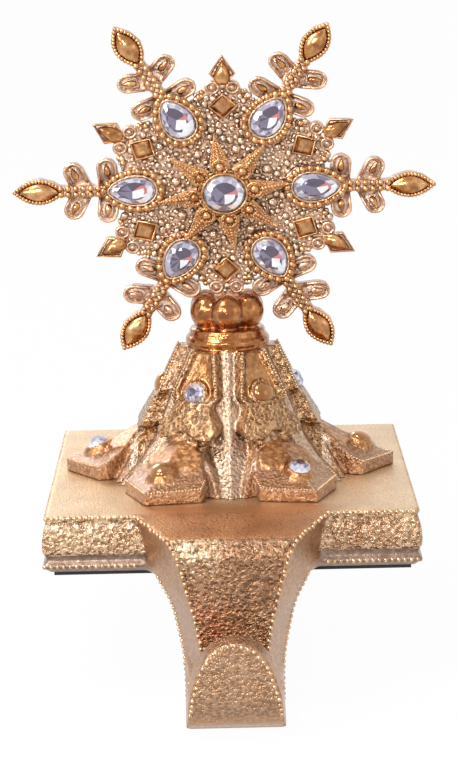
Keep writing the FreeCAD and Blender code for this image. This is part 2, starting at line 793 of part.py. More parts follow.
def make_star_boss():
    under, top = star_levels()
    at = flake_frame(size("star_turn"), size("star_drop"))
    hub = size("star_hub")
    pieces = [slab(at, ring_of_points(hub, 16), size("bed_thickness"), top - 0.8)]
    lobe = size("star_lobe") / 2
    where = size("centre_stone") / 2 + lobe + 0.1
    count = int(size("star_points"))
    for i in range(count):
        turned = flake_frame(size("star_turn") + 360.0 * i / count, size("star_drop"))
        root = 0.85 * hub
        spike = slab(turned, [(root, -1.28 * lobe), (size("star_radius"), 0), (root, 1.28 * lobe)],
                     under, top + 1)
        ridge = [(root, top + 0.2), (size("star_radius") + 1, under + 1.0)]
        pieces.append(spike.common(roof(turned, ridge, 0.45, 2 * lobe, under - 1)))
        disc = [(where + a, b) for a, b in ring_of_points(lobe, 10)]
        pieces.append(slab(turned, disc, under - 1, top - 0.2))
        pieces.append(pillow(turned, scaled(disc[::2], 0.62), top - 0.3, top + 0.8, 0.5))
    boss = pieces[0].fuse(pieces[1:])
    clear = size("centre_stone") / 2 + size("stone_clearance")
    floor = top - 0.8 - size("pocket_depth")
    pocket = slab(flake_frame(0, size("star_drop")), ring_of_points(clear, 16), floor, top + 5)
    return feature("star_boss", boss.cut(pocket))


def make_centre_crystal():
    at = flake_frame(0, size("star_drop"))
    floor = star_levels()[1] - 0.8 - size("pocket_depth")
    radius, height = size("centre_stone") / 2, size("centre_stone_height")
    rows = [(1.0, 0), (1.0, 0.35), (0.78, 0.78), (0.4, 1.0)]
    rings = [placed(at, ring_of_points(radius * share, 16), floor + height * rise) for share, rise in rows]
    return feature("centre_crystal", stacked(rings))


def make_arm_crystal(number):
    at = flake_frame(60 * (number - 1))
    floor = size("bed_thickness") + size("arm_plate")
    length, width, height = size("pear_length"), size("pear_width"), size("pear_height")
    rows = [(1.0, 0), (1.0, 0.4), (0.8, 0.8), (0.42, 1.0)]
    rings = []
    for scale, rise in rows:
        points = drop_points(size("pear_radius"), length * scale, width * scale)
        rings.append(placed(at, points, floor + height * rise))
    return feature(f"arm_crystal_{number}", stacked(rings))


# The pieces

stones, seats, pockets = make_small_stones()
nodes = [
    make_pad(),
    combined("Part::MultiFuse", "plinth_and_hook", [make_plinth()] + make_hook()),
    make_pedestal(seats, pockets),
    make_snowflake(),
    make_star_boss(),
    make_centre_crystal(),
]
nodes += [make_arm_crystal(number) for number in range(1, 7)]
nodes += stones

# Check the document and write one STEP file for each piece

doc.recompute()
for item in doc.Objects:
    if "Invalid" in item.State or "Error" in item.State:
        raise RuntimeError(f"{item.Label} is {item.State}")
for node in nodes:
    if node.Shape.isNull() or not node.Shape.isValid():
        raise RuntimeError(f"{node.Label} has no valid shape")

os.makedirs("parts", exist_ok=True)
for node in nodes:
    node.Shape.exportStep(f"parts/{node.Label}.step")
    print(f"{node.Label}: {len(node.Shape.Solids)} solid, {len(node.Shape.Faces)} faces, "
          f"{node.Shape.Volume / 1000:.2f} cm3")
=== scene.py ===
"""Looks of the mantel stocking holder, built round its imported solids.

Lengths in this script are millimetres in the frame of the part, and MM turns them into metres.
The snowflake stands upright and faces -Y; its arms are counted from +X."""

import bisect
import math
import random

import bmesh
import bpy
from mathutils import Matrix, Vector, noise
from mathutils.bvhtree import BVHTree


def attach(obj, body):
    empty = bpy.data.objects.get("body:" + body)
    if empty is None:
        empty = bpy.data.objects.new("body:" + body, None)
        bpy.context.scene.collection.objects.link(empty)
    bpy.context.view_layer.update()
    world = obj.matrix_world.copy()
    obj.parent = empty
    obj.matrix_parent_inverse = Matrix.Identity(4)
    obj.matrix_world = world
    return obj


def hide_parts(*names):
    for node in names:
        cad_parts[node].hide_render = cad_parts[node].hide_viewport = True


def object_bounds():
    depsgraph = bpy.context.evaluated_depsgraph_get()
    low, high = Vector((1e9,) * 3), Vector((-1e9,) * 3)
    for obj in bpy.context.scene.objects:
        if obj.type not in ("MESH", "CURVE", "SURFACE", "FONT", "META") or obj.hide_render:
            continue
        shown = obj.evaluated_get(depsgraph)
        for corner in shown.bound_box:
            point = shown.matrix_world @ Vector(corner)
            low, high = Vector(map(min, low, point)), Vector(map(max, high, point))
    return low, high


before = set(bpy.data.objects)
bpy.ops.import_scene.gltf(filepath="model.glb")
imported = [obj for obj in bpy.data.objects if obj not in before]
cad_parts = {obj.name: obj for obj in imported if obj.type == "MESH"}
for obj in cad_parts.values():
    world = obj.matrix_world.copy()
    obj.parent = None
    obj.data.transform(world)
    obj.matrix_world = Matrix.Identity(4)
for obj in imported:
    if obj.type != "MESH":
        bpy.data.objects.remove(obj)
cad_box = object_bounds()

MM = 0.001
chance = random.Random(4751)

# Sizes shared with the solids
PLINTH_TOP = 21.5
PLINTH_HALF = (63.5, 62.0)
RAIL = 1.8
COVE_TOP = 4.7
COVE_BACK = 0.6
PEDESTAL_TOP = 70.0
FLAKE_CENTRE = 124.5
FLAKE_BACK = 4.0
FLAKE_SQUASH = 0.884
BED = 6.0
PLATE = 7.2
ARM_LENGTH = 75.3
BED_RADIUS = 37.0
PEAR_RADIUS = 32.6
PEAR_LENGTH = 17.0
PEAR_WIDTH = 11.9
PEAR_RIM = 2.8
MARQUISE_LENGTH = 19.0
MARQUISE_WIDTH = 10.4
KITE_TIP = 53.3
KITE_LENGTH = 13.4
KITE_HALF = 4.5
SQUARE_RADIUS = 33.0
SQUARE_HALF = 4.88
RING_AT = 40.3
RING_OFF = 3.6
PETALS = ((0.54, 84, 13.0), (0.665, 66, 12.2))
PETAL_WIDTH = 7.4
STAR_DROP = 1.3
STAR_TURN = 8.0
STAR_RADIUS = 23.9
STAR_UNDER = 9.0
STAR_TOP = 11.6
STAR_POINTS = 8
STAR_LOBE_AT = 10.8
CENTRE_STONE = 7.7
STONE = 4.15
LIP_FRONT = -111.0
LIP_BACK = -103.0


# Meshes

def new_object(name, points, faces, material, node=None, smooth=True, indices=None):
    """A piece from points in millimetres; it rides on the holder's one body."""
    mesh = bpy.data.meshes.new(name)
    mesh.from_pydata([Vector(p) * MM for p in points], [], faces)
    mesh.validate()
    for one in material if isinstance(material, (list, tuple)) else [material]:
        mesh.materials.append(one)
    if indices:
        mesh.polygons.foreach_set("material_index", indices)
    if smooth:
        mesh.shade_smooth()
    obj = bpy.data.objects.new(name, mesh)
    bpy.context.scene.collection.objects.link(obj)
    return dressed(obj, node)


def dressed(obj, node):
    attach(obj, "root")
    if node:
        nodes = [node] if isinstance(node, str) else node
        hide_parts(*nodes)
    return obj


class Heap:
    """Points and faces of many small forms that become one piece."""

    def __init__(self):
        self.points, self.faces, self.indices = [], [], []

    def add(self, points, faces, index=0):
        start = len(self.points)
        self.points += points
        self.faces += [tuple(start + i for i in face) for face in faces]
        self.indices += [index] * len(faces)

    def piece(self, name, material, slot, node=None, smooth=True):
        return new_object(name, self.points, self.faces, material, node, smooth, self.indices)


def ball_template(divisions):
    ball = bmesh.new()
    bmesh.ops.create_icosphere(ball, subdivisions=divisions, radius=1.0)
    points = [v.co.copy() for v in ball.verts]
    faces = [tuple(v.index for v in f.verts) for f in ball.faces]
    ball.free()
    return points, faces


BALL = ball_template(2)
FINE_BALL = ball_template(4)


def add_ball(heap, centre, radius):
    heap.add([Vector(centre) + p * radius for p in BALL[0]], BALL[1])


def add_rings(heap, rings, index=0, close_low=False, close_high=True):
    """Skin through rings of as many points each, with a face over each end that is closed."""
    count = len(rings[0])
    points = [p for ring in rings for p in ring]
    faces = []
    for row in range(len(rings) - 1):
        for i in range(count):
            j = (i + 1) % count
            faces.append((row * count + i, row * count + j, (row + 1) * count + j, (row + 1) * count + i))
    if close_low:
        faces.append(tuple(reversed(range(count))))
    if close_high:
        faces.append(tuple((len(rings) - 1) * count + i for i in range(count)))
    heap.add(points, faces, index)


def add_dome(heap, at, outline, low, high, index=0, rows=6, skirt=1.0):
    """Smooth dome over an outline, from a skirt below its low level to its crown."""
    a = sum(p[0] for p in outline) / len(outline)
    b = sum(p[1] for p in outline) / len(outline)
    rings = [[at(p[0], p[1], low - skirt) for p in outline]]
    for row in range(rows):
        turn = math.pi / 2 * row / rows
        share = math.cos(turn)
        level = low + (high - low) * math.sin(turn)
        rings.append([at(a + share * (p[0] - a), b + share * (p[1] - b), level) for p in outline])
    crown = at(a, b, high)
    add_rings(heap, rings, index, close_low=True, close_high=False)
    start = len(heap.points) - len(outline)
    heap.points.append(crown)
    for i in range(len(outline)):
        j = (i + 1) % len(outline)
        heap.faces.append((start + i, start + j, len(heap.points) - 1))
        heap.indices.append(index)


def add_frustum(heap, at, outline, low, high, share, index=0):
    a = sum(p[0] for p in outline) / len(outline)
    b = sum(p[1] for p in outline) / len(outline)
    rings = [[at(p[0], p[1], low) for p in outline]]
    rings.append([at(a + share * (p[0] - a), b + share * (p[1] - b), high) for p in outline])
    add_rings(heap, rings, index, close_low=True)


def add_tube(heap, path, radius, closed=False, sides=8, index=0):
    """Round wire along a path of points."""
    rings = []
    count = len(path)
    side = None
    for i, point in enumerate(path):
        before = path[(i - 1) % count] if closed or i else point
        after = path[(i + 1) % count] if closed or i < count - 1 else point
        along = (Vector(after) - Vector(before)).normalized()
        if side is None:
            side = along.orthogonal().normalized()
        side = (side - along * side.dot(along)).normalized()
        other = along.cross(side)
        ring = []
        for k in range(sides):
            turn = 2 * math.pi * k / sides
            ring.append(Vector(point) + radius * (math.cos(turn) * side + math.sin(turn) * other))
        rings.append(ring)
    if closed:
        rings.append(rings[0])
    add_rings(heap, rings, index, close_low=not closed, close_high=not closed)


# Paths

def spaced(path, pitch, closed=False, count=None):
    """Points at an even pitch along a polyline, or a given number of them."""
    points = [Vector(p) for p in path] + ([Vector(path[0])] if closed else [])
    run = [0.0]
    for a, b in zip(points, points[1:]):
        run.append(run[-1] + (b - a).length)
    number = count or max(2, round(run[-1] / pitch))
    steps = number if closed else number - 1
    places = []
    for i in range(number):
        goal = run[-1] * i / steps
        k = min(bisect.bisect_right(run, goal) - 1, len(points) - 2)
        share = (goal - run[k]) / max(run[k + 1] - run[k], 1e-9)
        places.append(points[k].lerp(points[k + 1], share))
    return places


def interpolated(table, value):
    """Straight-line reading of a table of (value, result) pairs, in rising order of value."""
    if value <= table[0][0]:
        return table[0][1]
    for (a, ra), (b, rb) in zip(table, table[1:]):
        if value <= b:
            return ra + (rb - ra) * (value - a) / (b - a)
    return table[-1][1]


def flake_frame(angle, drop=0.0):
    turn = math.radians(angle)

    def at(along, across, forward):
        u = along * math.cos(turn) - across * math.sin(turn)
        v = along * math.sin(turn) + across * math.cos(turn)
        return Vector((u, FLAKE_BACK - forward, FLAKE_CENTRE - drop + FLAKE_SQUASH * v))
    return at


def plan_frame(azimuth):
    turn = math.radians(azimuth)

    def at(out, across, up):
        return Vector((out * math.cos(turn) - across * math.sin(turn),
                       out * math.sin(turn) + across * math.cos(turn), up))
    return at


def circle(radius, count, middle=(0.0, 0.0)):
    places = []
    for i in range(count):
        turn = 2 * math.pi * i / count
        places.append((middle[0] + radius * math.cos(turn), middle[1] + radius * math.sin(turn)))
    return places


def drop_outline(centre, length, width, count=28):
    widest = 0.7698
    places = []
    for i in range(count):
        turn = 2 * math.pi * i / count
        places.append((centre + length / 2 * math.cos(turn),
                       width / 2 * math.sin(turn) * math.sin(turn / 2) / widest))
    return places


def marquise_outline(tip, length, half, count=12):
    middle, reach = tip - length / 2, length / 2
    left = []
    for i in range(count + 1):
        share = 1 - 2 * i / count
        left.append((middle + share * reach, half * (1 - share ** 2)))
    return left + [(a, -b) for a, b in left[-2:0:-1]]


def turned(root, lean, spots):
    turn = math.radians(lean)
    return [(root[0] + p * math.cos(turn) - q * math.sin(turn),
             root[1] + p * math.sin(turn) + q * math.cos(turn)) for p, q in spots]


# Materials

class Graph:
    """A material's nodes, made one by one."""

    def __init__(self, name):
        self.material = bpy.data.materials.new(name)
        self.material.use_nodes = True
        self.tree = self.material.node_tree
        self.shader = self.tree.nodes["Principled BSDF"]
        self.place = self.add("ShaderNodeTexCoord").outputs["Object"]

    def add(self, kind, inputs=None, **settings):
        node = self.tree.nodes.new(kind)
        for key, value in settings.items():
            setattr(node, key, value)
        for key, value in (inputs or {}).items():
            if isinstance(value, bpy.types.NodeSocket):
                self.tree.links.new(value, node.inputs[key])
            else:
                node.inputs[key].default_value = value
        return node

    def noise(self, grain, detail=3.0, rough=0.5):
        return self.add("ShaderNodeTexNoise", {"Vector": self.place, "Scale": 1 / (grain * MM),
                                               "Detail": detail, "Roughness": rough}).outputs["Fac"]

    def hammer(self, grain):
        """Irregular dents that meet in ridges: 0 in the middle of a dent and 1 on a ridge."""
        shake = self.add("ShaderNodeTexNoise", {"Vector": self.place, "Scale": 1 / (grain * MM),
                                                "Detail": 2.0})
        shift = self.add("ShaderNodeVectorMath", {0: shake.outputs["Color"], 1: (0.5, 0.5, 0.5)},
                         operation="SUBTRACT").outputs[0]
        shift = self.add("ShaderNodeVectorMath", {0: shift, "Scale": 1.6 * grain * MM},
                         operation="SCALE").outputs[0]
        place = self.add("ShaderNodeVectorMath", {0: self.place, 1: shift}, operation="ADD").outputs[0]
        cell = self.add("ShaderNodeTexVoronoi", {"Vector": place, "Scale": 1 / (grain * MM)})
        return self.ramp(cell.outputs["Distance"], 0.08, 0.72)

    def ramp(self, value, low, high):
        node = self.add("ShaderNodeMapRange", {"Value": value, "From Min": low, "From Max": high})
        return node.outputs["Result"]

    def maths(self, operation, a, b, clamp=True):
        return self.add("ShaderNodeMath", {0: a, 1: b}, operation=operation, use_clamp=clamp).outputs[0]

    def blend(self, factor, a, b):
        node = self.add("ShaderNodeMix", data_type="RGBA")
        for socket, value in ((0, factor), (6, a), (7, b)):
            if isinstance(value, bpy.types.NodeSocket):
                self.tree.links.new(value, node.inputs[socket])
            elif socket:
                node.inputs[socket].default_value = (*value, 1.0)
            else:
                node.inputs[socket].default_value = value
        return node.outputs[2]

    def bump(self, height, depth, below=None):
        inputs = {"Height": height, "Distance": depth * MM, "Strength": 1.0}
        if below:
            inputs["Normal"] = below
        return self.add("ShaderNodeBump", inputs).outputs["Normal"]

    def set(self, **inputs):
        for key, value in inputs.items():
            socket = self.shader.inputs[key.replace("_", " ")]
            if isinstance(value, bpy.types.NodeSocket):
                self.tree.links.new(value, socket)
            else:
                socket.default_value = value


def tone(red, green, blue):
    """Linear colour of three display values from 0 to 255."""
    return tuple((c / 255) ** 2.2 for c in (red, green, blue))


# Dark brown of the recesses: patina and painted shade
RECESS_SHADE_AND_PATINA = tone(78, 50, 32)


def metal(name, dark, plain, light, rough, grain, depth, wear_and_highlight=0.4, recess_shade_and_patina=0.6, hammered=False, stains_and_painted_light=(),
          near_arm=None):
    """Plated casting: pits of its grain are dark and crests light, partly its finish and partly painted shade
    and highlight; edges are lighter, wear and a painted highlight; recesses are darker, patina and painted
    shade.
    """
    g = Graph(name)
    point = g.add("ShaderNodeNewGeometry").outputs["Pointiness"]
    sky = g.add("ShaderNodeAmbientOcclusion", {"Distance": 2.5 * MM}, samples=6).outputs["AO"]
    if hammered:
        grit = g.hammer(grain)
    else:
        grit = g.ramp(g.noise(grain, 3.0, 0.55), 0.36, 0.64)
    # Pits dark and crests light: partly the plating's finish and partly painted shade and highlight of the
    # dents
    colour = g.blend(g.ramp(grit, 0.0, 0.5), dark, plain)
    colour = g.blend(g.ramp(grit, 0.5, 1.0), colour, light)
    broad = g.noise(11.0, 2.0)
    colour = g.blend(g.maths("MULTIPLY", g.ramp(broad, 0.52, 0.70), 0.40), colour, light)
    colour = g.blend(g.maths("MULTIPLY", g.ramp(broad, 0.48, 0.30), 0.40), colour, dark)
    if near_arm:
        # The top turns to another colour towards the arm, painted shade where the top would fall towards the
        # arm
        x, y, _ = g.add("ShaderNodeSeparateXYZ", {"Vector": g.place}).outputs
        across = g.ramp(g.maths("ABSOLUTE", x, 0.0, False), 40 * MM, 27 * MM)
        along = g.ramp(y, -46 * MM, -56 * MM)
        colour = g.blend(g.maths("MULTIPLY", across, along), colour, near_arm)
    # Patches round given places: a copper stain, painted shade and a painted highlight
    for tint, centre, reach in stains_and_painted_light:
        away = g.add("ShaderNodeVectorMath", {0: g.place, 1: Vector(centre) * MM}, operation="DISTANCE")
        close = g.ramp(away.outputs["Value"], reach * MM, 0.3 * reach * MM)
        close = g.maths("MULTIPLY", close, g.ramp(g.noise(2.2), 0.40, 0.62))
        colour = g.blend(g.maths("MULTIPLY", close, 0.7), colour, tint)
    # Lighter on sharp edges: worn plating and a painted highlight
    colour = g.blend(g.maths("MULTIPLY", g.ramp(point, 0.52, 0.60), wear_and_highlight), colour, light)
    # Darker where ambient occlusion finds a recess: patina and painted shade
    colour = g.blend(g.maths("MULTIPLY", g.ramp(sky, 0.55, 0.10), recess_shade_and_patina), colour, RECESS_SHADE_AND_PATINA)
    normal = g.bump(grit, depth)
    normal = g.bump(g.noise(0.35 * grain, 2.0), 0.35 * depth, normal)
    span = g.add("ShaderNodeMapRange", {"Value": broad, "From Min": 0.3, "From Max": 0.7,
                                        "To Min": rough - 0.05, "To Max": rough + 0.08})
    g.set(Base_Color=colour, Metallic=1.0, Roughness=span.outputs["Result"], Normal=normal)
    g.shader.inputs["Coat Weight"].default_value = 0.5
    g.shader.inputs["Coat Roughness"].default_value = 0.8 * rough
    return g.material


COPPER = tone(200, 146, 98)

# The brown patch on the right of the front moulding is painted shade
plinth_metal = metal("plinth_hammered", tone(158, 119, 88), tone(180, 143, 111), tone(220, 187, 152),
                     0.26, 1.6, 0.62, hammered=True,
                     stains_and_painted_light=((tone(134, 86, 50), (49.0, -64.0, 12.5), 21.0),))
top_metal = metal("plinth_top_fine", tone(204, 168, 128), tone(222, 188, 148), tone(238, 212, 176),
                  0.42, 0.8, 0.10, near_arm=COPPER)
arm_top_metal = metal("arm_top_fine", tone(164, 108, 68), COPPER, tone(200, 148, 104), 0.38, 0.9, 0.12)
cove_metal = metal("satin_grey", tone(124, 100, 84), tone(138, 113, 97), tone(158, 132, 116),
                   0.38, 2.0, 0.10)
# On the arm's face: a copper stain low at the left, a painted highlight at the left of the bend, painted
# shade at the right
face_metal = metal("arm_face_hammered", tone(130, 92, 64), tone(146, 106, 76), tone(176, 134, 102),
                   0.26, 1.6, 0.52, hammered=True,
                   stains_and_painted_light=((tone(172, 98, 68), (-8.0, -87.0, -12.0), 13.0),
                            (tone(250, 226, 186), (-13.5, -83.5, 15.5), 13.0),
                            (tone(104, 72, 46), (10.0, -87.0, 0.0), 15.0)))
wall_metal = metal("arm_wall_satin", tone(160, 114, 76), tone(178, 130, 90), tone(200, 154, 114),
                   0.36, 1.2, 0.10)
lip_metal = metal("lip_hammered", tone(144, 108, 78), tone(156, 119, 90), tone(184, 146, 116),
                  0.28, 1.4, 0.42, hammered=True)
pedestal_metal = metal("pedestal_hammered", tone(118, 80, 50), tone(140, 101, 66), tone(188, 148, 108),
                       0.26, 1.5, 0.50, hammered=True)
core_metal = metal("core_hammered", tone(158, 128, 105), tone(173, 144, 120), tone(200, 171, 144),
                   0.26, 1.2, 0.24, hammered=True)
panel_metal = metal("panel_satin", tone(132, 84, 46), tone(158, 108, 64), tone(188, 140, 94), 0.26, 2.8, 0.20)
foot_metal = metal("foot_satin", tone(146, 102, 70), tone(168, 124, 90), tone(200, 160, 126), 0.34, 1.2, 0.40)
leaf_metal = metal("leaf_satin", tone(138, 88, 48), tone(166, 112, 66), tone(198, 150, 106), 0.30, 1.6, 0.15)
knop_metal = metal("knop_polished", tone(136, 82, 42), tone(160, 100, 54), tone(184, 126, 76),
                   0.13, 2.6, 0.10)
flake_metal = metal("snowflake_cast", tone(150, 110, 82), tone(190, 152, 126), tone(222, 192, 168),
                    0.32, 1.2, 0.16, recess_shade_and_patina=0.4)
pebble_metal = metal("snowflake_pebbles", tone(122, 88, 62), tone(184, 150, 122), tone(240, 216, 190),
                     0.20, 1.0, 0.14, recess_shade_and_patina=0.6)
bead_metal = metal("bead_gold", tone(120, 76, 42), tone(174, 117, 68), tone(224, 176, 126), 0.24, 2.4, 0.06)
drop_metal = metal("drop_polished", tone(136, 84, 44), tone(176, 120, 68), tone(218, 168, 116),
                   0.18, 4.0, 0.08)
star_metal = metal("star_gold", tone(116, 72, 38), tone(164, 106, 58), tone(206, 156, 106), 0.28, 1.0, 0.16)
rim_metal = metal("snowflake_rims", tone(150, 106, 74), tone(196, 152, 118), tone(228, 194, 164),
                  0.26, 1.6, 0.10, recess_shade_and_patina=0.4)
dish_metal = metal("snowflake_dishes", tone(176, 144, 122), tone(204, 174, 152), tone(228, 202, 184),
                   0.34, 0.8, 0.16, recess_shade_and_patina=0.2)
square_metal = metal("square_copper", tone(116, 74, 42), tone(150, 100, 60), tone(196, 146, 98),
                     0.24, 2.4, 0.08)
trim_metal = metal("trim_beads", tone(146, 108, 76), tone(192, 148, 106), tone(232, 198, 158),
                   0.28, 2.0, 0.06)


def stone_material(name, colour, rough=0.06, metallic=0.55):
    g = Graph(name)
    g.set(Base_Color=g.blend(g.ramp(g.noise(2.4, 2.0), 0.3, 0.7), tuple(0.8 * c for c in colour), colour),
          Metallic=metallic, Roughness=rough)
    g.shader.inputs["Coat Weight"].default_value = 1.0
    g.shader.inputs["Coat Roughness"].default_value = 0.03
    return g.material


# Tones of the clear stones' facets: painted reflections and highlights
STONE_REFLECTION_COLOURS = {
    "dark": tone(92, 82, 100), "violet": tone(128, 120, 142), "lilac": tone(176, 172, 192),
    "clear": tone(212, 212, 224), "white": tone(246, 246, 250), "pink": tone(214, 128, 126),
}
stone_reflection_materials = [stone_material(f"stone_{name}", colour) for name, colour in STONE_REFLECTION_COLOURS.items()]


def dome_material():
    g = Graph("stone_amber")
    # Darker in the middle and paler towards the rim as seen: painted sheen
    facing = g.add("ShaderNodeLayerWeight", {"Blend": 0.35}).outputs["Facing"]
    g.set(Base_Color=g.blend(facing, tone(142, 86, 38), tone(230, 178, 112)), Metallic=0.9, Roughness=0.2)
    g.shader.inputs["Coat Weight"].default_value = 1.0
    g.shader.inputs["Coat Roughness"].default_value = 0.06
    return g.material


amber_material = dome_material()


def pad_material():
    g = Graph("pad_rubber")
    g.set(Base_Color=g.blend(g.noise(1.5), (0.012, 0.011, 0.013), (0.03, 0.027, 0.03)), Roughness=0.8,
          Normal=g.bump(g.noise(0.6), 0.05))
    return g.material


# Castings: fine remeshed copies whose edges are soft, as cast and plated edges are

def casting(name, node, voxel, rounds, metals, choose, depth, solids=None, carried=True):
    """Soft copy of a node, of closed solids in a heap, or of both, remeshed as one and then smoothed.

    It is dented by a depth for each place, and its metals are chosen by place."""
    build = bmesh.new()
    if carried:
        build.from_mesh(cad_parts[node].data)
        bmesh.ops.remove_doubles(build, verts=build.verts, dist=1e-6)
    if solids:
        added = bpy.data.meshes.new("added")
        added.from_pydata([Vector(p) * MM for p in solids.points], [], solids.faces)
        build.from_mesh(added)
        bpy.data.meshes.remove(added)
    mesh = bpy.data.meshes.new(name)
    build.to_mesh(mesh)
    build.free()
    rough = bpy.data.objects.new(name, mesh)
    bpy.context.scene.collection.objects.link(rough)
    remesh = rough.modifiers.new("remesh", "REMESH")
    remesh.mode = "VOXEL"
    remesh.voxel_size = voxel * MM
    smooth = rough.modifiers.new("smooth", "SMOOTH")
    smooth.iterations = rounds
    smooth.factor = 0.5
    graph = bpy.context.evaluated_depsgraph_get()
    made = bpy.data.meshes.new_from_object(rough.evaluated_get(graph))
    bpy.data.objects.remove(rough)
    bpy.data.meshes.remove(mesh)
    normals = [v.normal.copy() for v in made.vertices]
    for vertex, normal in zip(made.vertices, normals):
        place = vertex.co / MM
        vertex.co += normal * (depth(place, normal) * MM)
    made.materials.clear()
    for one in metals:
        made.materials.append(one)
    for face in made.polygons:
        face.material_index = choose(face.center / MM, face.normal)
    made.shade_smooth()
    obj = bpy.data.objects.new(name, made)
    bpy.context.scene.collection.objects.link(obj)
    return dressed(obj, node)


def dents(place, grain, depth):
    """Shallow hammer dents, never above the surface they are struck into."""
    near = noise.voronoi(place / grain)[0][0]
    return -depth * max(0.0, 1.0 - 1.6 * near)


def plinth_choice(place, normal):
    x, y, z = place
    on_arm = y < -PLINTH_HALF[1] - 1.9
    if on_arm:
        if z > 18.0 and normal.z > 0.6:
            return 2
        if abs(normal.x) > 0.55:
            return 5
        if y < -96.0:
            return 6 if z > -35.0 else 5
        return 4
    if normal.z > 0.8 and z > PLINTH_TOP - 1.5:
        return 2 if (abs(x) < 34.0 and y < -61.0) else 1
    if 1.0 < z < 7.8:
        return 3
    return 0


def plinth_depth(place, normal):
    if normal.z > 0.8 or place.z < 7.8 and place.y > -64.5:
        return 0.0
    if place.y < -64.5:
        if abs(normal.x) > 0.5 or place.z < -34.0:
            return 0.0
        crown = min(1.0, max(0.0, (place.z + 8.0) / 12.0)) if -96.0 < place.y < -70.0 else 0.0
        return dents(place, 1.7, 0.08) - 1.1 * crown * (place.x / interpolated(FACE_HALVES, place.z)) ** 2
    return dents(place, 1.9, 0.16)


def hook_foot():
    """Foot of the arm, which runs on down to the underside of the lip's turn."""
    heap = Heap()
    rings = []
    for level, back, half_back, face, half_face in (
            (-26.0, -67.2, 17.3, -86.5, 11.5), (-31.0, -67.4, 17.2, -90.0, 14.6),
            (-35.0, -69.2, 17.0, -97.0, 16.2), (-39.0, -73.5, 16.8, -101.0, 16.6),
            (-41.7, -79.5, 16.6, -101.0, 16.6)):
        rings.append([Vector((-half_back, back, level)), Vector((-half_face, face, level)),
                      Vector((half_face, face, level)), Vector((half_back, back, level))])
    add_rings(heap, rings, close_low=True)
    return heap


# Pedestal: a six-sided core with a stepped rib on each face, in the frame of the rib

CORE_LEVELS = [(21.5, 46.0), (24.0, 42.6), (28.5, 37.2), (36.0, 31.0), (52.0, 23.7), (70.0, 14.2)]
PANEL_LINE = ((17.0, 70.0), (26.6, 49.0))
PANEL_TOP = 67.6
PANEL_HALVES = (4.9, 9.4)
PANEL_RAIL = 1.7
LOBE_LINE = ((28.3, 49.8), (35.2, 38.5))
LOBE_FALL = 0.16
LOBE_HALF = [(0.0, 51.5), (8.0, 51.5), (7.8, 48.6), (8.6, 46.6), (11.0, 44.4), (11.8, 42.2), (11.3, 40.2),
             (9.3, 39.0), (6.4, 39.2), (3.6, 40.4), (1.6, 41.9), (0.0, 42.4)]
SKIRT = [(21.5, 18.9, 41.2), (26.0, 15.7, 38.0), (30.0, 12.2, 35.6), (34.0, 8.9, 34.0), (37.4, 5.6, 33.2),
         (44.0, 5.2, 31.0), (52.0, 5.2, 25.0)]
FOOT_RIDGE = [(7.5, 60.0), (34.0, 37.2), (45.0, 31.0), (59.6, 25.6)]
FOOT_SIDES = [(7.5, 6.0), (33.0, 8.6), (38.0, 10.6), (43.5, 15.0), (47.4, 15.8), (59.6, 0.1)]
FOOT_FALL = 0.24
LEAF_RISE = 1.2
LEAF_HALF = [(33.6, 0.0), (33.6, 4.6), (34.9, 8.6), (37.1, 10.4), (39.8, 10.6), (42.2, 9.0), (42.9, 6.4),
             (44.0, 4.6), (46.2, 5.3), (49.6, 5.5), (52.0, 3.8), (53.2, 0.0)]


def on_line(line, up):
    (high_out, high), (low_out, low) = line
    return high_out + (low_out - high_out) * (high - up) / (high - low)


def mirrored(half):
    """Closed outline from its half, whose first and last points lie on the fold."""
    return half + [(-a, b) for a, b in half[-2:0:-1]]


def panel_outline(inset):
    upper, lower = PANEL_HALVES[0] - inset, PANEL_HALVES[1] - inset
    low = PANEL_LINE[1][1]
    return mirrored([(0.0, PANEL_TOP), (upper, PANEL_TOP), (lower, low + 3.8),
                     (lower - 0.9, low + 2.4 + inset), (0.65 * lower, low + 0.8 + inset), (0.0, low + inset)])


def foot_level(out, across):
    return interpolated(FOOT_RIDGE, out) - FOOT_FALL * abs(across)


def add_gable(heap, at, stations, floor):
    """Gabled bar through stations of (out, half width, eave, ridge)."""
    rings = []
    for out, half, eave, ridge in stations:
        corners = ((-half, floor), (half, floor), (half, eave), (0.0, ridge), (-half, eave))
        rings.append([at(out, across, level) for across, level in corners])
    add_rings(heap, rings, close_low=True)


def add_plate(heap, at, outline, middle, face, thick):
    """Plate over an outline; face gives the level of its outer side at each place."""
    count = len(outline)
    start = len(heap.points)
    back = [at(a, b, face(a, b) - thick) for a, b in outline]
    front = [at(a, b, face(a, b)) for a, b in outline]
    add_rings(heap, [back, front], close_high=False)
    for first, sink in ((0, thick), (count, 0.0)):
        heap.points.append(at(*middle, face(*middle) - sink))
        hub = len(heap.points) - 1
        for i in range(count):
            heap.faces.append((start + first + i, start + first + (i + 1) % count, hub))
            heap.indices.append(0)


def front_of(plan):
    return lambda across, up, out: plan(out, across, up)


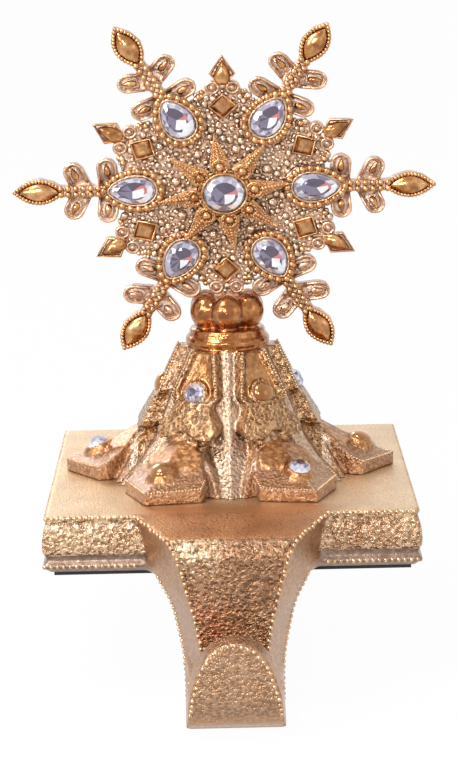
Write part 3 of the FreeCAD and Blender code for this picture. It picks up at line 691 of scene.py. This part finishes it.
def add_rib(heap, plan):
    front = front_of(plan)
    inner = 7.5
    rings = []
    for inset, sink in ((0.0, None), (0.0, 0.0), (PANEL_RAIL, 0.0), (PANEL_RAIL + 0.3, 1.3),
                        (PANEL_RAIL + 1.9, 1.9)):
        ring = []
        for across, up in panel_outline(inset):
            ring.append(front(across, up, inner if sink is None else on_line(PANEL_LINE, up) - sink))
        rings.append(ring)
    add_rings(heap, rings, close_low=True)
    add_plate(heap, front, mirrored(LOBE_HALF), (0.0, 46.0),
              lambda across, up: on_line(LOBE_LINE, up) - LOBE_FALL * abs(across), 5.5)
    add_rings(heap, [[plan(inner, -half, up), plan(out, -half, up), plan(out, half, up),
                      plan(inner, half, up)] for up, half, out in SKIRT], close_low=True)
    stations = []
    for out in sorted({out for out, _ in FOOT_RIDGE + FOOT_SIDES}):
        half = interpolated(FOOT_SIDES, out)
        stations.append((out, half, foot_level(out, half), foot_level(out, 0.0)))
    add_gable(heap, plan, stations, PLINTH_TOP)
    leaf = [(a, b) for a, b in LEAF_HALF] + [(a, -b) for a, b in LEAF_HALF[-2:0:-1]]
    add_plate(heap, plan, leaf, (41.0, 0.0), lambda out, across: foot_level(out, across) + LEAF_RISE, 3.0)


def add_lathe(heap, profile, count=48):
    rings = [[Vector((r * math.cos(2 * math.pi * i / count), r * math.sin(2 * math.pi * i / count), z))
              for i in range(count)] for r, z in profile]
    add_rings(heap, rings, close_low=True)


def add_ring_mould(heap, radius, tube, level, count=12):
    """Half-round moulding round the axis, filled inside."""
    profile = []
    for i in range(count + 1):
        turn = -math.pi / 2 + math.pi * i / count
        profile.append((radius - tube + tube * math.cos(turn), level + tube * math.sin(turn)))
    add_lathe(heap, profile)


def pedestal_solids():
    heap = Heap()
    add_rings(heap, [[plan_frame(30 + 60 * i)(out, 0.0, up) for i in range(6)] for up, out in CORE_LEVELS],
              close_low=True)
    for rib in range(6):
        add_rib(heap, plan_frame(60 * rib))
    add_ring_mould(heap, 15.2, 2.1, PEDESTAL_TOP - 0.3)
    add_ring_mould(heap, 13.7, 1.5, PEDESTAL_TOP + 2.9)
    add_lathe(heap, [(9.5, PEDESTAL_TOP), (9.5, PEDESTAL_TOP + 14.0)])
    for lobe in range(6):
        plan = plan_frame(30 + 60 * lobe)
        heap.add([plan(8.8 + 5.5 * p.x, 6.1 * p.y, PEDESTAL_TOP + 10.4 + 6.5 * p.z) for p in FINE_BALL[0]],
                 FINE_BALL[1])
    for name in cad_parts:
        if name.startswith(("rib_", "foot_")):
            at = node_frame(name)
            add_rings(heap, [[at(a, b, -3.0) for a, b in circle(5.0, 24)],
                             [at(a, b, 0.9) for a, b in circle(4.9, 24)]], close_low=True)
    return heap


def rib_place(place):
    """Place in the frame of the nearest rib: outward, across and up."""
    azimuth = math.atan2(place.y, place.x)
    off = azimuth - round(azimuth / math.radians(60)) * math.radians(60)
    radius = math.hypot(place.x, place.y)
    return radius * math.cos(off), abs(radius * math.sin(off)), place.z


def pedestal_choice(place, normal):
    """Index of the metal: hammered, knop, panel, core, foot or leaf."""
    out, across, up = rib_place(place)
    if up > PANEL_TOP - 0.2 and math.hypot(out, across) < 15.7:
        return 1
    if out < interpolated(CORE_LEVELS, up) * math.cos(math.radians(30)) + 0.45:
        return 3
    if up > 49.0:
        half = interpolated([(49.0, PANEL_HALVES[1]), (PANEL_TOP, PANEL_HALVES[0])], up)
        inside = across < half - PANEL_RAIL + 0.2
        return 2 if inside and out < on_line(PANEL_LINE, up) - 0.5 else 0
    if up > 39.5 or out < 33.0:
        return 0
    if up > foot_level(out, across) + 0.55:
        return 5
    return 4 if out > 36.0 else 3


def pedestal_depth(place, normal):
    return dents(place, 1.6, 0.12) if pedestal_choice(place, normal) == 0 else 0.0


def make_pedestal_edges():
    """Fine beading along the edges of the panels and of the feet."""
    heap = Heap()
    for rib in range(6):
        plan = plan_frame(60 * rib)
        front = front_of(plan)
        for side in (1, -1):
            panel = [front(side * a, b, on_line(PANEL_LINE, b)) for a, b in panel_outline(0.3) if a > 0]
            foot = [plan(a, side * b, foot_level(a, b)) for a, b in ((43.5, 14.7), (47.4, 15.4), (59.2, 0.0))]
            for path in (panel, foot):
                for place in spaced(path, 1.05):
                    add_ball(heap, place, 0.42)
    return heap.piece("pedestal_edges", trim_metal, "pedestal_metal")


def make_castings():
    casting("plinth_casting", "plinth_and_hook", 0.82, 2,
            [plinth_metal, top_metal, arm_top_metal, cove_metal, face_metal, wall_metal, lip_metal],
            plinth_choice, plinth_depth, hook_foot())
    casting("pedestal_casting", "pedestal", 0.62, 1,
            [pedestal_metal, knop_metal, panel_metal, core_metal, foot_metal, leaf_metal],
            pedestal_choice, pedestal_depth, pedestal_solids(), carried=False)
    casting("snowflake_casting", "snowflake", 0.52, 1, [flake_metal], lambda p, n: 0,
            lambda p, n: 0.0)
    casting("star_casting", "star_boss", 0.32, 1, [star_metal], lambda p, n: 0, lambda p, n: 0.0)
    make_pedestal_edges()


# Beaded edges of the plinth and the hook

def make_plinth_beads():
    heap = Heap()
    skip = 31.5
    for inset, level, radius, pitch in ((-0.1, PLINTH_TOP - RAIL / 2, 0.86, 2.0),
                                        (COVE_BACK + 0.2, COVE_TOP - RAIL / 2, 0.86, 2.2)):
        x, y = PLINTH_HALF[0] + inset, PLINTH_HALF[1] + inset
        corners = [(-x, -y, level), (x, -y, level), (x, y, level), (-x, y, level)]
        for place in spaced(corners, pitch, closed=True):
            if place.y < -y + 1 and abs(place.x) < skip:
                continue
            add_ball(heap, place, radius)
    return heap.piece("plinth_beads", trim_metal, "plinth_metal")


BACK_HALVES = [(-43.7, 19.2), (-37.7, 19.2), (-24.8, 20.4), (-14.8, 22.5), (-8.0, 24.5), (-3.5, 27.1),
               (1.2, 30.0), (12.0, 32.0), (21.5, 35.2)]
FACE_HALVES = [(-43.7, 10.0), (-37.7, 10.2), (-24.8, 10.9), (-14.8, 12.2), (-8.0, 13.5), (-3.5, 14.4),
               (1.2, 15.6), (12.0, 18.4), (21.5, 21.4)]


def arm_half(y, z):
    share = (-60.0 - y) / 27.0
    return (1 - share) * interpolated(BACK_HALVES, z) + share * interpolated(FACE_HALVES, z)


def arch_path(y, half, crown, spring, bottom):
    """Outline of the lip's arch in the plane y, from one foot over the crown to the other."""
    rise = crown - spring
    points = [(-half, bottom), (-0.95 * half, spring), (-0.72 * half, spring + 0.58 * rise),
              (-0.4 * half, spring + 0.9 * rise), (0, crown)]
    return [Vector((x, y, z)) for x, z in points + [(-x, z) for x, z in points[-2::-1]]]


def make_hook_beads():
    casting_mesh = bpy.data.objects["plinth_casting"]
    skin = BVHTree.FromObject(casting_mesh, bpy.context.evaluated_depsgraph_get())
    heap = Heap()
    front_path = [(-63.5, 21.5), (-72.0, 20.3), (-79.0, 18.8), (-83.6, 17.0), (-86.2, 14.2), (-87.6, 11.0),
                  (-88.0, 8.5), (-87.6, -6.0), (-87.2, -24.0)]
    back_path = [(-68.0, 1.0), (-68.0, -5.0), (-68.0, -14.0), (-68.0, -26.0), (-68.4, -33.0)]
    rows = []
    for path, pitch, radius in ((front_path, 2.2, 0.8), (back_path, 1.95, 0.8)):
        dense = []
        for (ya, za), (yb, zb) in zip(path, path[1:]):
            for k in range(6):
                y, z = ya + (yb - ya) * k / 6, za + (zb - za) * k / 6
                dense.append((arm_half(y, z), y, z))
        if path is back_path:
            dense += [(17.2, -68.2, -33.0), (17.0, -71.0, -37.0), (16.7, -76.0, -40.6)]
        for side in (-1, 1):
            rows.append(([(side * half, y, z) for half, y, z in dense], pitch, radius))
    rows.append((arch_path(LIP_FRONT, 15.3, -9.6, -29.7, -35.0), 2.2, 0.8))
    rows.append((arch_path(LIP_BACK - 0.4, 15.8, -8.6, -25.7, -27.0), 2.2, 0.75))
    for path, pitch, radius in rows:
        for place in spaced(path, pitch):
            found, normal, _, distance = skin.find_nearest(place * MM)
            if distance < 2.5 * MM:
                add_ball(heap, found / MM - normal * 0.25 * radius, radius)
    return heap.piece("hook_beads", trim_metal, "plinth_metal")


# Snowflake

def petal_parts(share, lean, length, side):
    """Outline of a petal's rim and of the drop in its dish, along and across its arm."""
    root = (share * ARM_LENGTH, 0.0)
    half = PETAL_WIDTH / 2 - 0.55
    reach = length - PETAL_WIDTH / 2
    rim = [(2.6, -half), (reach, -half)]
    for k in range(1, 8):
        turn = -math.pi / 2 + math.pi * k / 8
        rim.append((reach + half * math.cos(turn), half * math.sin(turn)))
    rim += [(reach, half), (2.6, half)]
    middle = 0.64 * length
    drop = [(middle + 2.9 * a, 1.35 * b) for a, b in drop_unit()]
    dish = [(0.3 * length, -half), (reach, -half)] + rim[2:-2] + [(reach, half), (0.3 * length, half)]
    return [turned(root, side * lean, path) for path in (rim, drop, dish)]


def drop_unit(count=16):
    """Drop of unit half length with its point outward."""
    places = []
    for i in range(count):
        turn = 2 * math.pi * i / count
        places.append((math.cos(turn), math.sin(turn) * math.sin(turn / 2) / 0.77))
    return places


def make_snowflake_relief():
    beads, drops, rims, dishes, pyramids = Heap(), Heap(), Heap(), Heap(), Heap()
    for arm in range(6):
        at = flake_frame(60 * arm)

        # Ring of beads and a thin bezel round the pear stone
        ring = pear_outline(PEAR_LENGTH + 1.30 * PEAR_RIM, PEAR_WIDTH + 1.25 * PEAR_RIM)
        path = [at(a, b, PLATE + 1.2) for a, b in ring]
        for place in spaced(path, 3.0, closed=True, count=18):
            add_ball(beads, place, 1.36)
        add_tube(drops, [p + Vector((0, 0.5, 0)) for p in path], 1.0, closed=True)
        bezel = pear_outline(PEAR_LENGTH + 0.4, PEAR_WIDTH + 0.4)
        add_tube(rims, [at(a, b, PLATE + 1.5) for a, b in bezel], 0.40, closed=True)

        # Two rows of beads on the stem
        start, end = PEAR_RADIUS + PEAR_LENGTH / 2 + 3.6, ARM_LENGTH - MARQUISE_LENGTH + 1.8
        for across in (-1.2, 1.2):
            for place in spaced([at(start, across, PLATE + 1.0), at(end, across, PLATE + 1.0)], 2.1):
                add_ball(beads, place, 1.15)

        # Marquise: a polished lens in a roped rim
        tip, length = ARM_LENGTH - 0.9, MARQUISE_LENGTH - 1.8
        edge = marquise_outline(tip, length, MARQUISE_WIDTH / 2 - 0.85)
        for place in spaced([at(a, b, PLATE + 0.65) for a, b in edge], 1.25, closed=True):
            add_ball(beads, place, 0.80)
        lens = marquise_outline(tip - 1.3, length - 2.6, MARQUISE_WIDTH / 2 - 1.45)
        add_dome(drops, at, lens, PLATE + 0.35, PLATE + 2.6, rows=7)

        # Petals: a rim and a drop in the dish
        for share, lean, reach in PETALS:
            for side in (1, -1):
                rim, drop, dish = petal_parts(share, lean, reach, side)
                add_tube(rims, [at(a, b, PLATE - 0.35) for a, b in rim], 0.54)
                add_frustum(dishes, at, dish, PLATE - 2.0, PLATE - 0.85, 0.9)
                # Drops on the upper four arms are golden and on the lower two pale: lit and shaded copies of
                # one drop, painted light
                add_dome(drops if arm < 4 else rims, at, drop, PLATE - 0.9, PLATE + 0.4, rows=5,
                         skirt=0.5)

        # Between the arms: kite, square and two ringed beads
        at = flake_frame(30 + 60 * arm)
        square = circle(SQUARE_HALF, 4, (SQUARE_RADIUS, 0))
        add_frustum(pyramids, at, circle(0.94 * SQUARE_HALF, 4, (SQUARE_RADIUS, 0)), BED + 1.6, BED + 2.9,
                    0.62)
        add_frustum(beads, at, circle(1.10 * SQUARE_HALF, 4, (SQUARE_RADIUS, 0)), BED - 0.5, BED + 1.7, 0.94)
        add_tube(beads, [at(a, b, BED + 1.7) for a, b in square], 0.55, closed=True, sides=6)
        for side in (1, -1):
            curl = (RING_AT, RING_OFF * side)
            add_frustum(dishes, at, circle(2.7, 20, curl), 1.4, BED + 0.8, 0.96)
            add_tube(rims, [at(a, b, BED + 0.9) for a, b in circle(2.1, 20, curl)], 0.55, closed=True)
            add_ball(rims, at(*curl, BED + 0.9), 1.0)
            add_ball(beads, at(36.4, 8.4 * side, BED + 0.6), 1.25)
            add_ball(beads, at(38.6, 7.4 * side, BED + 0.4), 1.0)
        if arm != 4:
            kite = [(KITE_TIP, 0), (KITE_TIP - 0.55 * KITE_LENGTH, KITE_HALF), (KITE_TIP - KITE_LENGTH, 0),
                    (KITE_TIP - 0.55 * KITE_LENGTH, -KITE_HALF)]
            add_tube(beads, [at(a, b, BED + 1.2) for a, b in scaled(kite, 0.95)], 0.50, closed=True, sides=6)
            body = drop_outline(KITE_TIP - 0.54 * KITE_LENGTH, 10.2, 6.2, 20)
            add_dome(drops, at, body, BED + 0.9, BED + 3.4)
    beads.piece("snowflake_beads", bead_metal, "snowflake_metal")
    drops.piece("snowflake_drops", drop_metal, "snowflake_metal")
    rims.piece("snowflake_rims", rim_metal, "snowflake_metal")
    dishes.piece("snowflake_dishes", dish_metal, "snowflake_metal")
    pyramids.piece("snowflake_squares", square_metal, "snowflake_metal", smooth=False)


def pear_outline(length, width, count=28):
    """Outline of a pear stone: an oval that is drawn out a little at its outer end."""
    places = []
    for (a, b) in drop_outline(PEAR_RADIUS, length, width, count):
        turn = math.acos(max(-1.0, min(1.0, 2 * (a - PEAR_RADIUS) / length)))
        oval = math.copysign(width / 2 * math.sin(turn), b)
        places.append((a, 0.55 * oval + 0.45 * b))
    return places


def scaled(points, share):
    a = sum(p[0] for p in points) / len(points)
    b = sum(p[1] for p in points) / len(points)
    return [(a + share * (p[0] - a), b + share * (p[1] - b)) for p in points]


def free_of_relief(u, v):
    """Whether a place on the bed is clear of the stones' rims, the squares and the star's hub."""
    radius = math.hypot(u, v)
    if radius < 9.5:
        return False
    angle = math.degrees(math.atan2(v, u))
    arm = math.radians((angle + 30) % 60 - 30)
    along, across = radius * math.cos(arm), radius * math.sin(arm)
    reach = (along - PEAR_RADIUS) / (PEAR_LENGTH / 2 + 3.0)
    if abs(reach) < 1 and abs(across) < (PEAR_WIDTH / 2 + 2.6) * math.sqrt(1 - reach ** 2):
        return False
    between = math.radians(angle % 60 - 30)
    along, across = radius * math.cos(between), radius * math.sin(between)
    if math.hypot(along - RING_AT, abs(across) - RING_OFF) < 3.2:
        return False
    shoulder = interpolated([(BED_RADIUS + 0.6, 10.0), (41.9, 3.8)], along)
    if radius > BED_RADIUS + 0.2 and (along > 42.5 or abs(across) > shoulder):
        return False
    return abs(along - SQUARE_RADIUS) + abs(across) > SQUARE_HALF + 0.9


def make_pebbles():
    """Pebbled ground between the stones, with eight larger domes between the star's points."""
    heap, taken = Heap(), []
    at = flake_frame(0)
    star = flake_frame(STAR_TURN, STAR_DROP)
    for k in range(STAR_POINTS):
        turn = math.radians(360.0 * (k + 0.5) / STAR_POINTS)
        place = star(17.6 * math.cos(turn), 17.6 * math.sin(turn), BED + 0.9)
        add_ball(heap, place, 1.9)
        taken.append((place.x, place.z, 1.9))
    for attempt in range(14000):
        u, v = chance.uniform(-43, 43), chance.uniform(-43, 43)
        if not free_of_relief(u, v):
            continue
        radius = chance.choice((1.0, 1.2, 1.45)) if attempt < 2500 else chance.choice((0.6, 0.75, 0.9))
        place = at(u, v, BED + 0.3 * radius)
        if all(math.hypot(place.x - a, place.z - b) > 0.80 * (radius + r) for a, b, r in taken):
            taken.append((place.x, place.z, radius))
            add_ball(heap, place, radius)
    return heap.piece("snowflake_pebbles", pebble_metal, "snowflake_metal")


SPIKE = [(9.4, 3.9, STAR_TOP + 0.1), (12.4, 3.4, STAR_TOP), (STAR_RADIUS + 0.2, 0.05, STAR_UNDER + 1.0)]


def make_star_beads():
    heap, domes, spikes = Heap(), Heap(), Heap()
    for k in range(STAR_POINTS):
        at = flake_frame(STAR_TURN + 360.0 * k / STAR_POINTS, STAR_DROP)
        add_gable(spikes, at, [(out, half, ridge - 0.25 * half, ridge) for out, half, ridge in SPIKE],
                  STAR_UNDER - 0.4)
        add_dome(domes, at, circle(1.75, 18, (STAR_LOBE_AT, 0)), STAR_TOP - 0.2, STAR_TOP + 1.5)
        add_tube(domes, [at(a, b, STAR_TOP) for a, b in circle(2.75, 20, (STAR_LOBE_AT, 0))], 0.42,
                 closed=True, sides=6)
        for i in range(10):
            turn = 2 * math.pi * i / 10
            add_ball(heap, at(STAR_LOBE_AT + 2.2 * math.cos(turn), 2.2 * math.sin(turn), STAR_TOP), 0.4)
        widths = [(out, half) for out, half, _ in SPIKE]
        ridges = [(out, ridge) for out, _, ridge in SPIKE]
        for i in range(9):
            along = STAR_LOBE_AT + 2.9 + 1.14 * i
            half, ridge = interpolated(widths, along), interpolated(ridges, along)
            add_ball(heap, at(along, 0, ridge), 0.80 - 0.045 * i)
            for side in (1, -1):
                add_ball(heap, at(along - 0.5, side * (half - 0.25), ridge - 0.22 * half), 0.52 - 0.02 * i)
                if half > 2.0:
                    add_ball(heap, at(along + 0.1, 0.5 * side * half, ridge - 0.12 * half), 0.45)
    heap.piece("star_beads", bead_metal, "star_metal")
    spikes.piece("star_spikes", star_metal, "star_metal", smooth=False)
    domes.piece("star_domes", drop_metal, "star_metal")
    ring = Heap()
    at = flake_frame(0, STAR_DROP)
    add_tube(ring, [at(a, b, STAR_TOP + 0.35) for a, b in circle(CENTRE_STONE + 0.25, 40)], 0.45, closed=True)
    ring.piece("star_bezel", bead_metal, "star_metal")


# Stones: cut in facets, each facet with a tone of its own, which paints the reflections and highlights of a
# clear stone

def add_cut_stone(heap, at, outline, floor, height, rows, reflection_tones):
    """Rows of facets up to a table; alternate rows are set half a step round, so facets are triangles."""
    count = len(outline)
    a = sum(p[0] for p in outline) / count
    b = sum(p[1] for p in outline) / count
    points = []
    for row, (share, rise) in enumerate(rows):
        for i in range(count):
            p, q = outline[i], outline[(i + 1) % count]
            slide = 0.5 * (row % 2)
            x, y = p[0] + slide * (q[0] - p[0]), p[1] + slide * (q[1] - p[1])
            points.append(at(a + share * (x - a), b + share * (y - b), floor + height * rise))
    faces, picks = [], []
    for row in range(len(rows) - 1):
        low, high = row * count, (row + 1) * count
        for i in range(count):
            j = (i + 1) % count
            if row % 2 == 0:
                triangles = [(low + i, low + j, high + i), (low + j, high + j, high + i)]
            else:
                triangles = [(low + i, high + j, high + i), (low + i, low + j, high + j)]
            for triangle in triangles:
                faces.append(triangle)
                picks.append(reflection_tones(row, points[triangle[0]], points[triangle[2]]))
    centre = at(a, b, floor + height * rows[-1][1])
    points.append(centre)
    low = (len(rows) - 1) * count
    for i in range(count):
        j = (i + 1) % count
        faces.append((low + i, low + j, len(points) - 1))
        picks.append(reflection_tones(len(rows), points[low + i], points[low + j]))
    start = len(heap.points)
    heap.points += points
    heap.faces += [tuple(start + i for i in face) for face in faces]
    heap.indices += picks


def reflection_tones_for(middle, step):
    """Painted reflection of a facet by its row and its side of the stone: dark reflection above, white
    highlight below, pink glint at the right.
    """
    def pick(row, one, other):
        place = (one + other) / 2 - middle
        across, up = place.x / step, place.z / step
        if row <= 1:
            return chance.choice((2, 3, 3, 4))
        if across - up > 0.62 * (1.4 if row < 4 else 0.8):
            return 4
        if row >= 3 and across > 0.22 and abs(up - 0.05) < 0.20:
            return 5
        if row >= 3:
            return 0 if up + 0.6 * across > 0.12 else chance.choice((0, 1, 1))
        return chance.choice((1, 2, 2, 3))
    return pick


def make_stones():
    big = [(1.0, 0.0), (1.0, 0.36), (0.86, 0.70), (0.64, 0.92), (0.50, 1.0)]
    for number in range(1, 7):
        heap = Heap()
        at = flake_frame(60 * (number - 1))
        middle = at(PEAR_RADIUS, 0, PLATE)
        add_cut_stone(heap, at, pear_outline(PEAR_LENGTH, PEAR_WIDTH, 16), PLATE, 3.3, big,
                      reflection_tones_for(middle, 6.5))
        heap.piece(f"arm_stone_{number}", stone_reflection_materials, "crystal", f"arm_crystal_{number}", smooth=False)
    heap = Heap()
    at = flake_frame(0, STAR_DROP)
    floor = STAR_TOP - 1.6
    add_cut_stone(heap, at, circle(CENTRE_STONE, 16), floor, 4.2, big, reflection_tones_for(at(0, 0, floor), 7.0))
    heap.piece("centre_stone", stone_reflection_materials, "crystal", "centre_crystal", smooth=False)

    small = [(1.0, 0.0), (1.0, 0.3), (0.74, 0.74), (0.42, 1.0)]
    for kind in ("rib", "foot"):
        for number in range(1, 4):
            heap = Heap()
            at = node_frame(f"{kind}_crystal_{number}")
            add_cut_stone(heap, at, circle(STONE, 10), 0.0, 3.1, small, reflection_tones_for(at(0, 0, 0), 4.0))
            heap.piece(f"{kind}_stone_{number}", stone_reflection_materials, "crystal", f"{kind}_crystal_{number}",
                       smooth=False)
            heap = Heap()
            at = node_frame(f"{kind}_pearl_{number}")
            add_dome(heap, at, circle(STONE, 28), 0.4, 3.0, rows=8, skirt=0.4)
            heap.piece(f"{kind}_dome_{number}", amber_material, "pearl", f"{kind}_pearl_{number}")


def node_frame(node):
    """Frame of a small stone, from its solid: the middle of its round back, and the way it faces."""
    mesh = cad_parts[node].data
    mesh.calc_loop_triangles()
    back = {}
    for triangle in mesh.loop_triangles:
        key = tuple(round(c, 2) for c in triangle.normal)
        back[key] = back.get(key, 0.0) + triangle.area
    flat = Vector(max(back, key=back.get)).normalized()
    points = [v.co / MM for v in mesh.vertices]
    level = max(p.dot(flat) for p in points)
    rim = [p for p in points if level - p.dot(flat) < 0.05]
    low = Vector([min(p[i] for p in rim) for i in range(3)])
    high = Vector([max(p[i] for p in rim) for i in range(3)])
    middle = (low + high) / 2
    facing = -flat
    side = facing.orthogonal().normalized()
    other = facing.cross(side)
    return lambda a, b, rise: middle + a * side + b * other + rise * facing


# Stage, lamps and camera

def make_stage():
    floor_level = cad_box[0].z - 0.0004
    mesh = bpy.data.meshes.new("floor")
    reach = 25.0
    mesh.from_pydata([(-reach, -reach, floor_level), (reach, -reach, floor_level),
                      (reach, reach, floor_level), (-reach, reach, floor_level)], [], [(0, 1, 2, 3)])
    floor = bpy.data.objects.new("floor", mesh)
    bpy.context.scene.collection.objects.link(floor)
    g = Graph("floor_white")
    g.set(Base_Color=(0.86, 0.86, 0.86, 1.0), Roughness=0.7)
    glow = g.add("ShaderNodeEmission", {"Color": (1, 1, 1, 1), "Strength": 1.0})
    mixed = g.add("ShaderNodeMixShader")
    path = g.add("ShaderNodeLightPath")
    seen = g.maths("ADD", path.outputs["Is Camera Ray"], path.outputs["Is Glossy Ray"])
    seen = g.maths("ADD", seen, path.outputs["Is Transmission Ray"])
    g.tree.links.new(g.maths("MULTIPLY", seen, 0.97), mixed.inputs[0])
    g.tree.links.new(g.shader.outputs[0], mixed.inputs[1])
    g.tree.links.new(glow.outputs[0], mixed.inputs[2])
    g.tree.links.new(mixed.outputs[0], g.tree.nodes["Material Output"].inputs["Surface"])
    mesh.materials.append(g.material)

    world = bpy.data.worlds.new("studio")
    bpy.context.scene.world = world
    world.use_nodes = True
    tree = world.node_tree
    back = tree.nodes["Background"]
    path = tree.nodes.new("ShaderNodeLightPath")
    total = tree.nodes.new("ShaderNodeMath")
    total.use_clamp = True
    tree.links.new(path.outputs["Is Camera Ray"], total.inputs[0])
    tree.links.new(path.outputs["Is Glossy Ray"], total.inputs[1])
    more = tree.nodes.new("ShaderNodeMath")
    more.use_clamp = True
    tree.links.new(total.outputs[0], more.inputs[0])
    tree.links.new(path.outputs["Is Transmission Ray"], more.inputs[1])
    level = tree.nodes.new("ShaderNodeMapRange")
    level.inputs["To Min"].default_value = 0.45
    level.inputs["To Max"].default_value = 1.0
    tree.links.new(more.outputs[0], level.inputs["Value"])
    tree.links.new(level.outputs["Result"], back.inputs["Strength"])
    back.inputs["Color"].default_value = (1, 1, 1, 1)


def add_lamp(name, place, target, width, power):
    lamp = bpy.data.lights.new(name, "AREA")
    lamp.size = width
    lamp.energy = power
    obj = bpy.data.objects.new(name, lamp)
    obj.location = place
    obj.rotation_euler = (Vector(target) - Vector(place)).to_track_quat("-Z", "Y").to_euler()
    bpy.context.scene.collection.objects.link(obj)


def make_lamps():
    target = (0, -0.02, 0.07)
    add_lamp("key", (-0.76, -0.80, 0.52), target, 0.40, 4.8)
    add_lamp("spark", (-0.20, -0.90, 0.40), target, 0.14, 2.4)
    add_lamp("fill", (0.9, -0.7, 0.45), target, 0.5, 0.6)
    add_lamp("top", (-0.34, -0.26, 0.75), target, 0.22, 3.4)
    add_lamp("back", (-0.50, 0.9, 0.62), target, 0.40, 2.6)


def make_camera():
    """Camera fitted to the edges of the plinth in the photograph."""
    place = Vector((-1.148, -860.941, 245.335)) * MM
    pitch, yaw, roll = (math.radians(a) for a in (12.527, 0.077, -1.236))
    focal_px, tall_px = 2431.425, 760
    ahead = Vector((math.sin(yaw) * math.cos(pitch), math.cos(yaw) * math.cos(pitch), -math.sin(pitch)))
    right = Vector((math.cos(yaw), -math.sin(yaw), 0))
    up = right.cross(ahead)
    side = math.cos(roll) * right + math.sin(roll) * up
    high = -math.sin(roll) * right + math.cos(roll) * up
    data = bpy.data.cameras.new("camera")
    data.sensor_width = 36.0
    data.lens = 36.0 * focal_px / tall_px
    data.clip_start, data.clip_end = 0.05, 100.0
    camera = bpy.data.objects.new("camera", data)
    camera.matrix_world = Matrix.Translation(place) @ Matrix((side, high, -ahead)).transposed().to_4x4()
    bpy.context.scene.collection.objects.link(camera)
    bpy.context.scene.camera = camera


make_camera()
make_stage()
make_lamps()
make_castings()
make_plinth_beads()
make_hook_beads()
make_snowflake_relief()
make_pebbles()
make_star_beads()
make_stones()

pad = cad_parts["underside_pad"]
pad.data.materials.clear()
pad.data.materials.append(pad_material())

bpy.context.scene.view_settings.view_transform = "Standard"
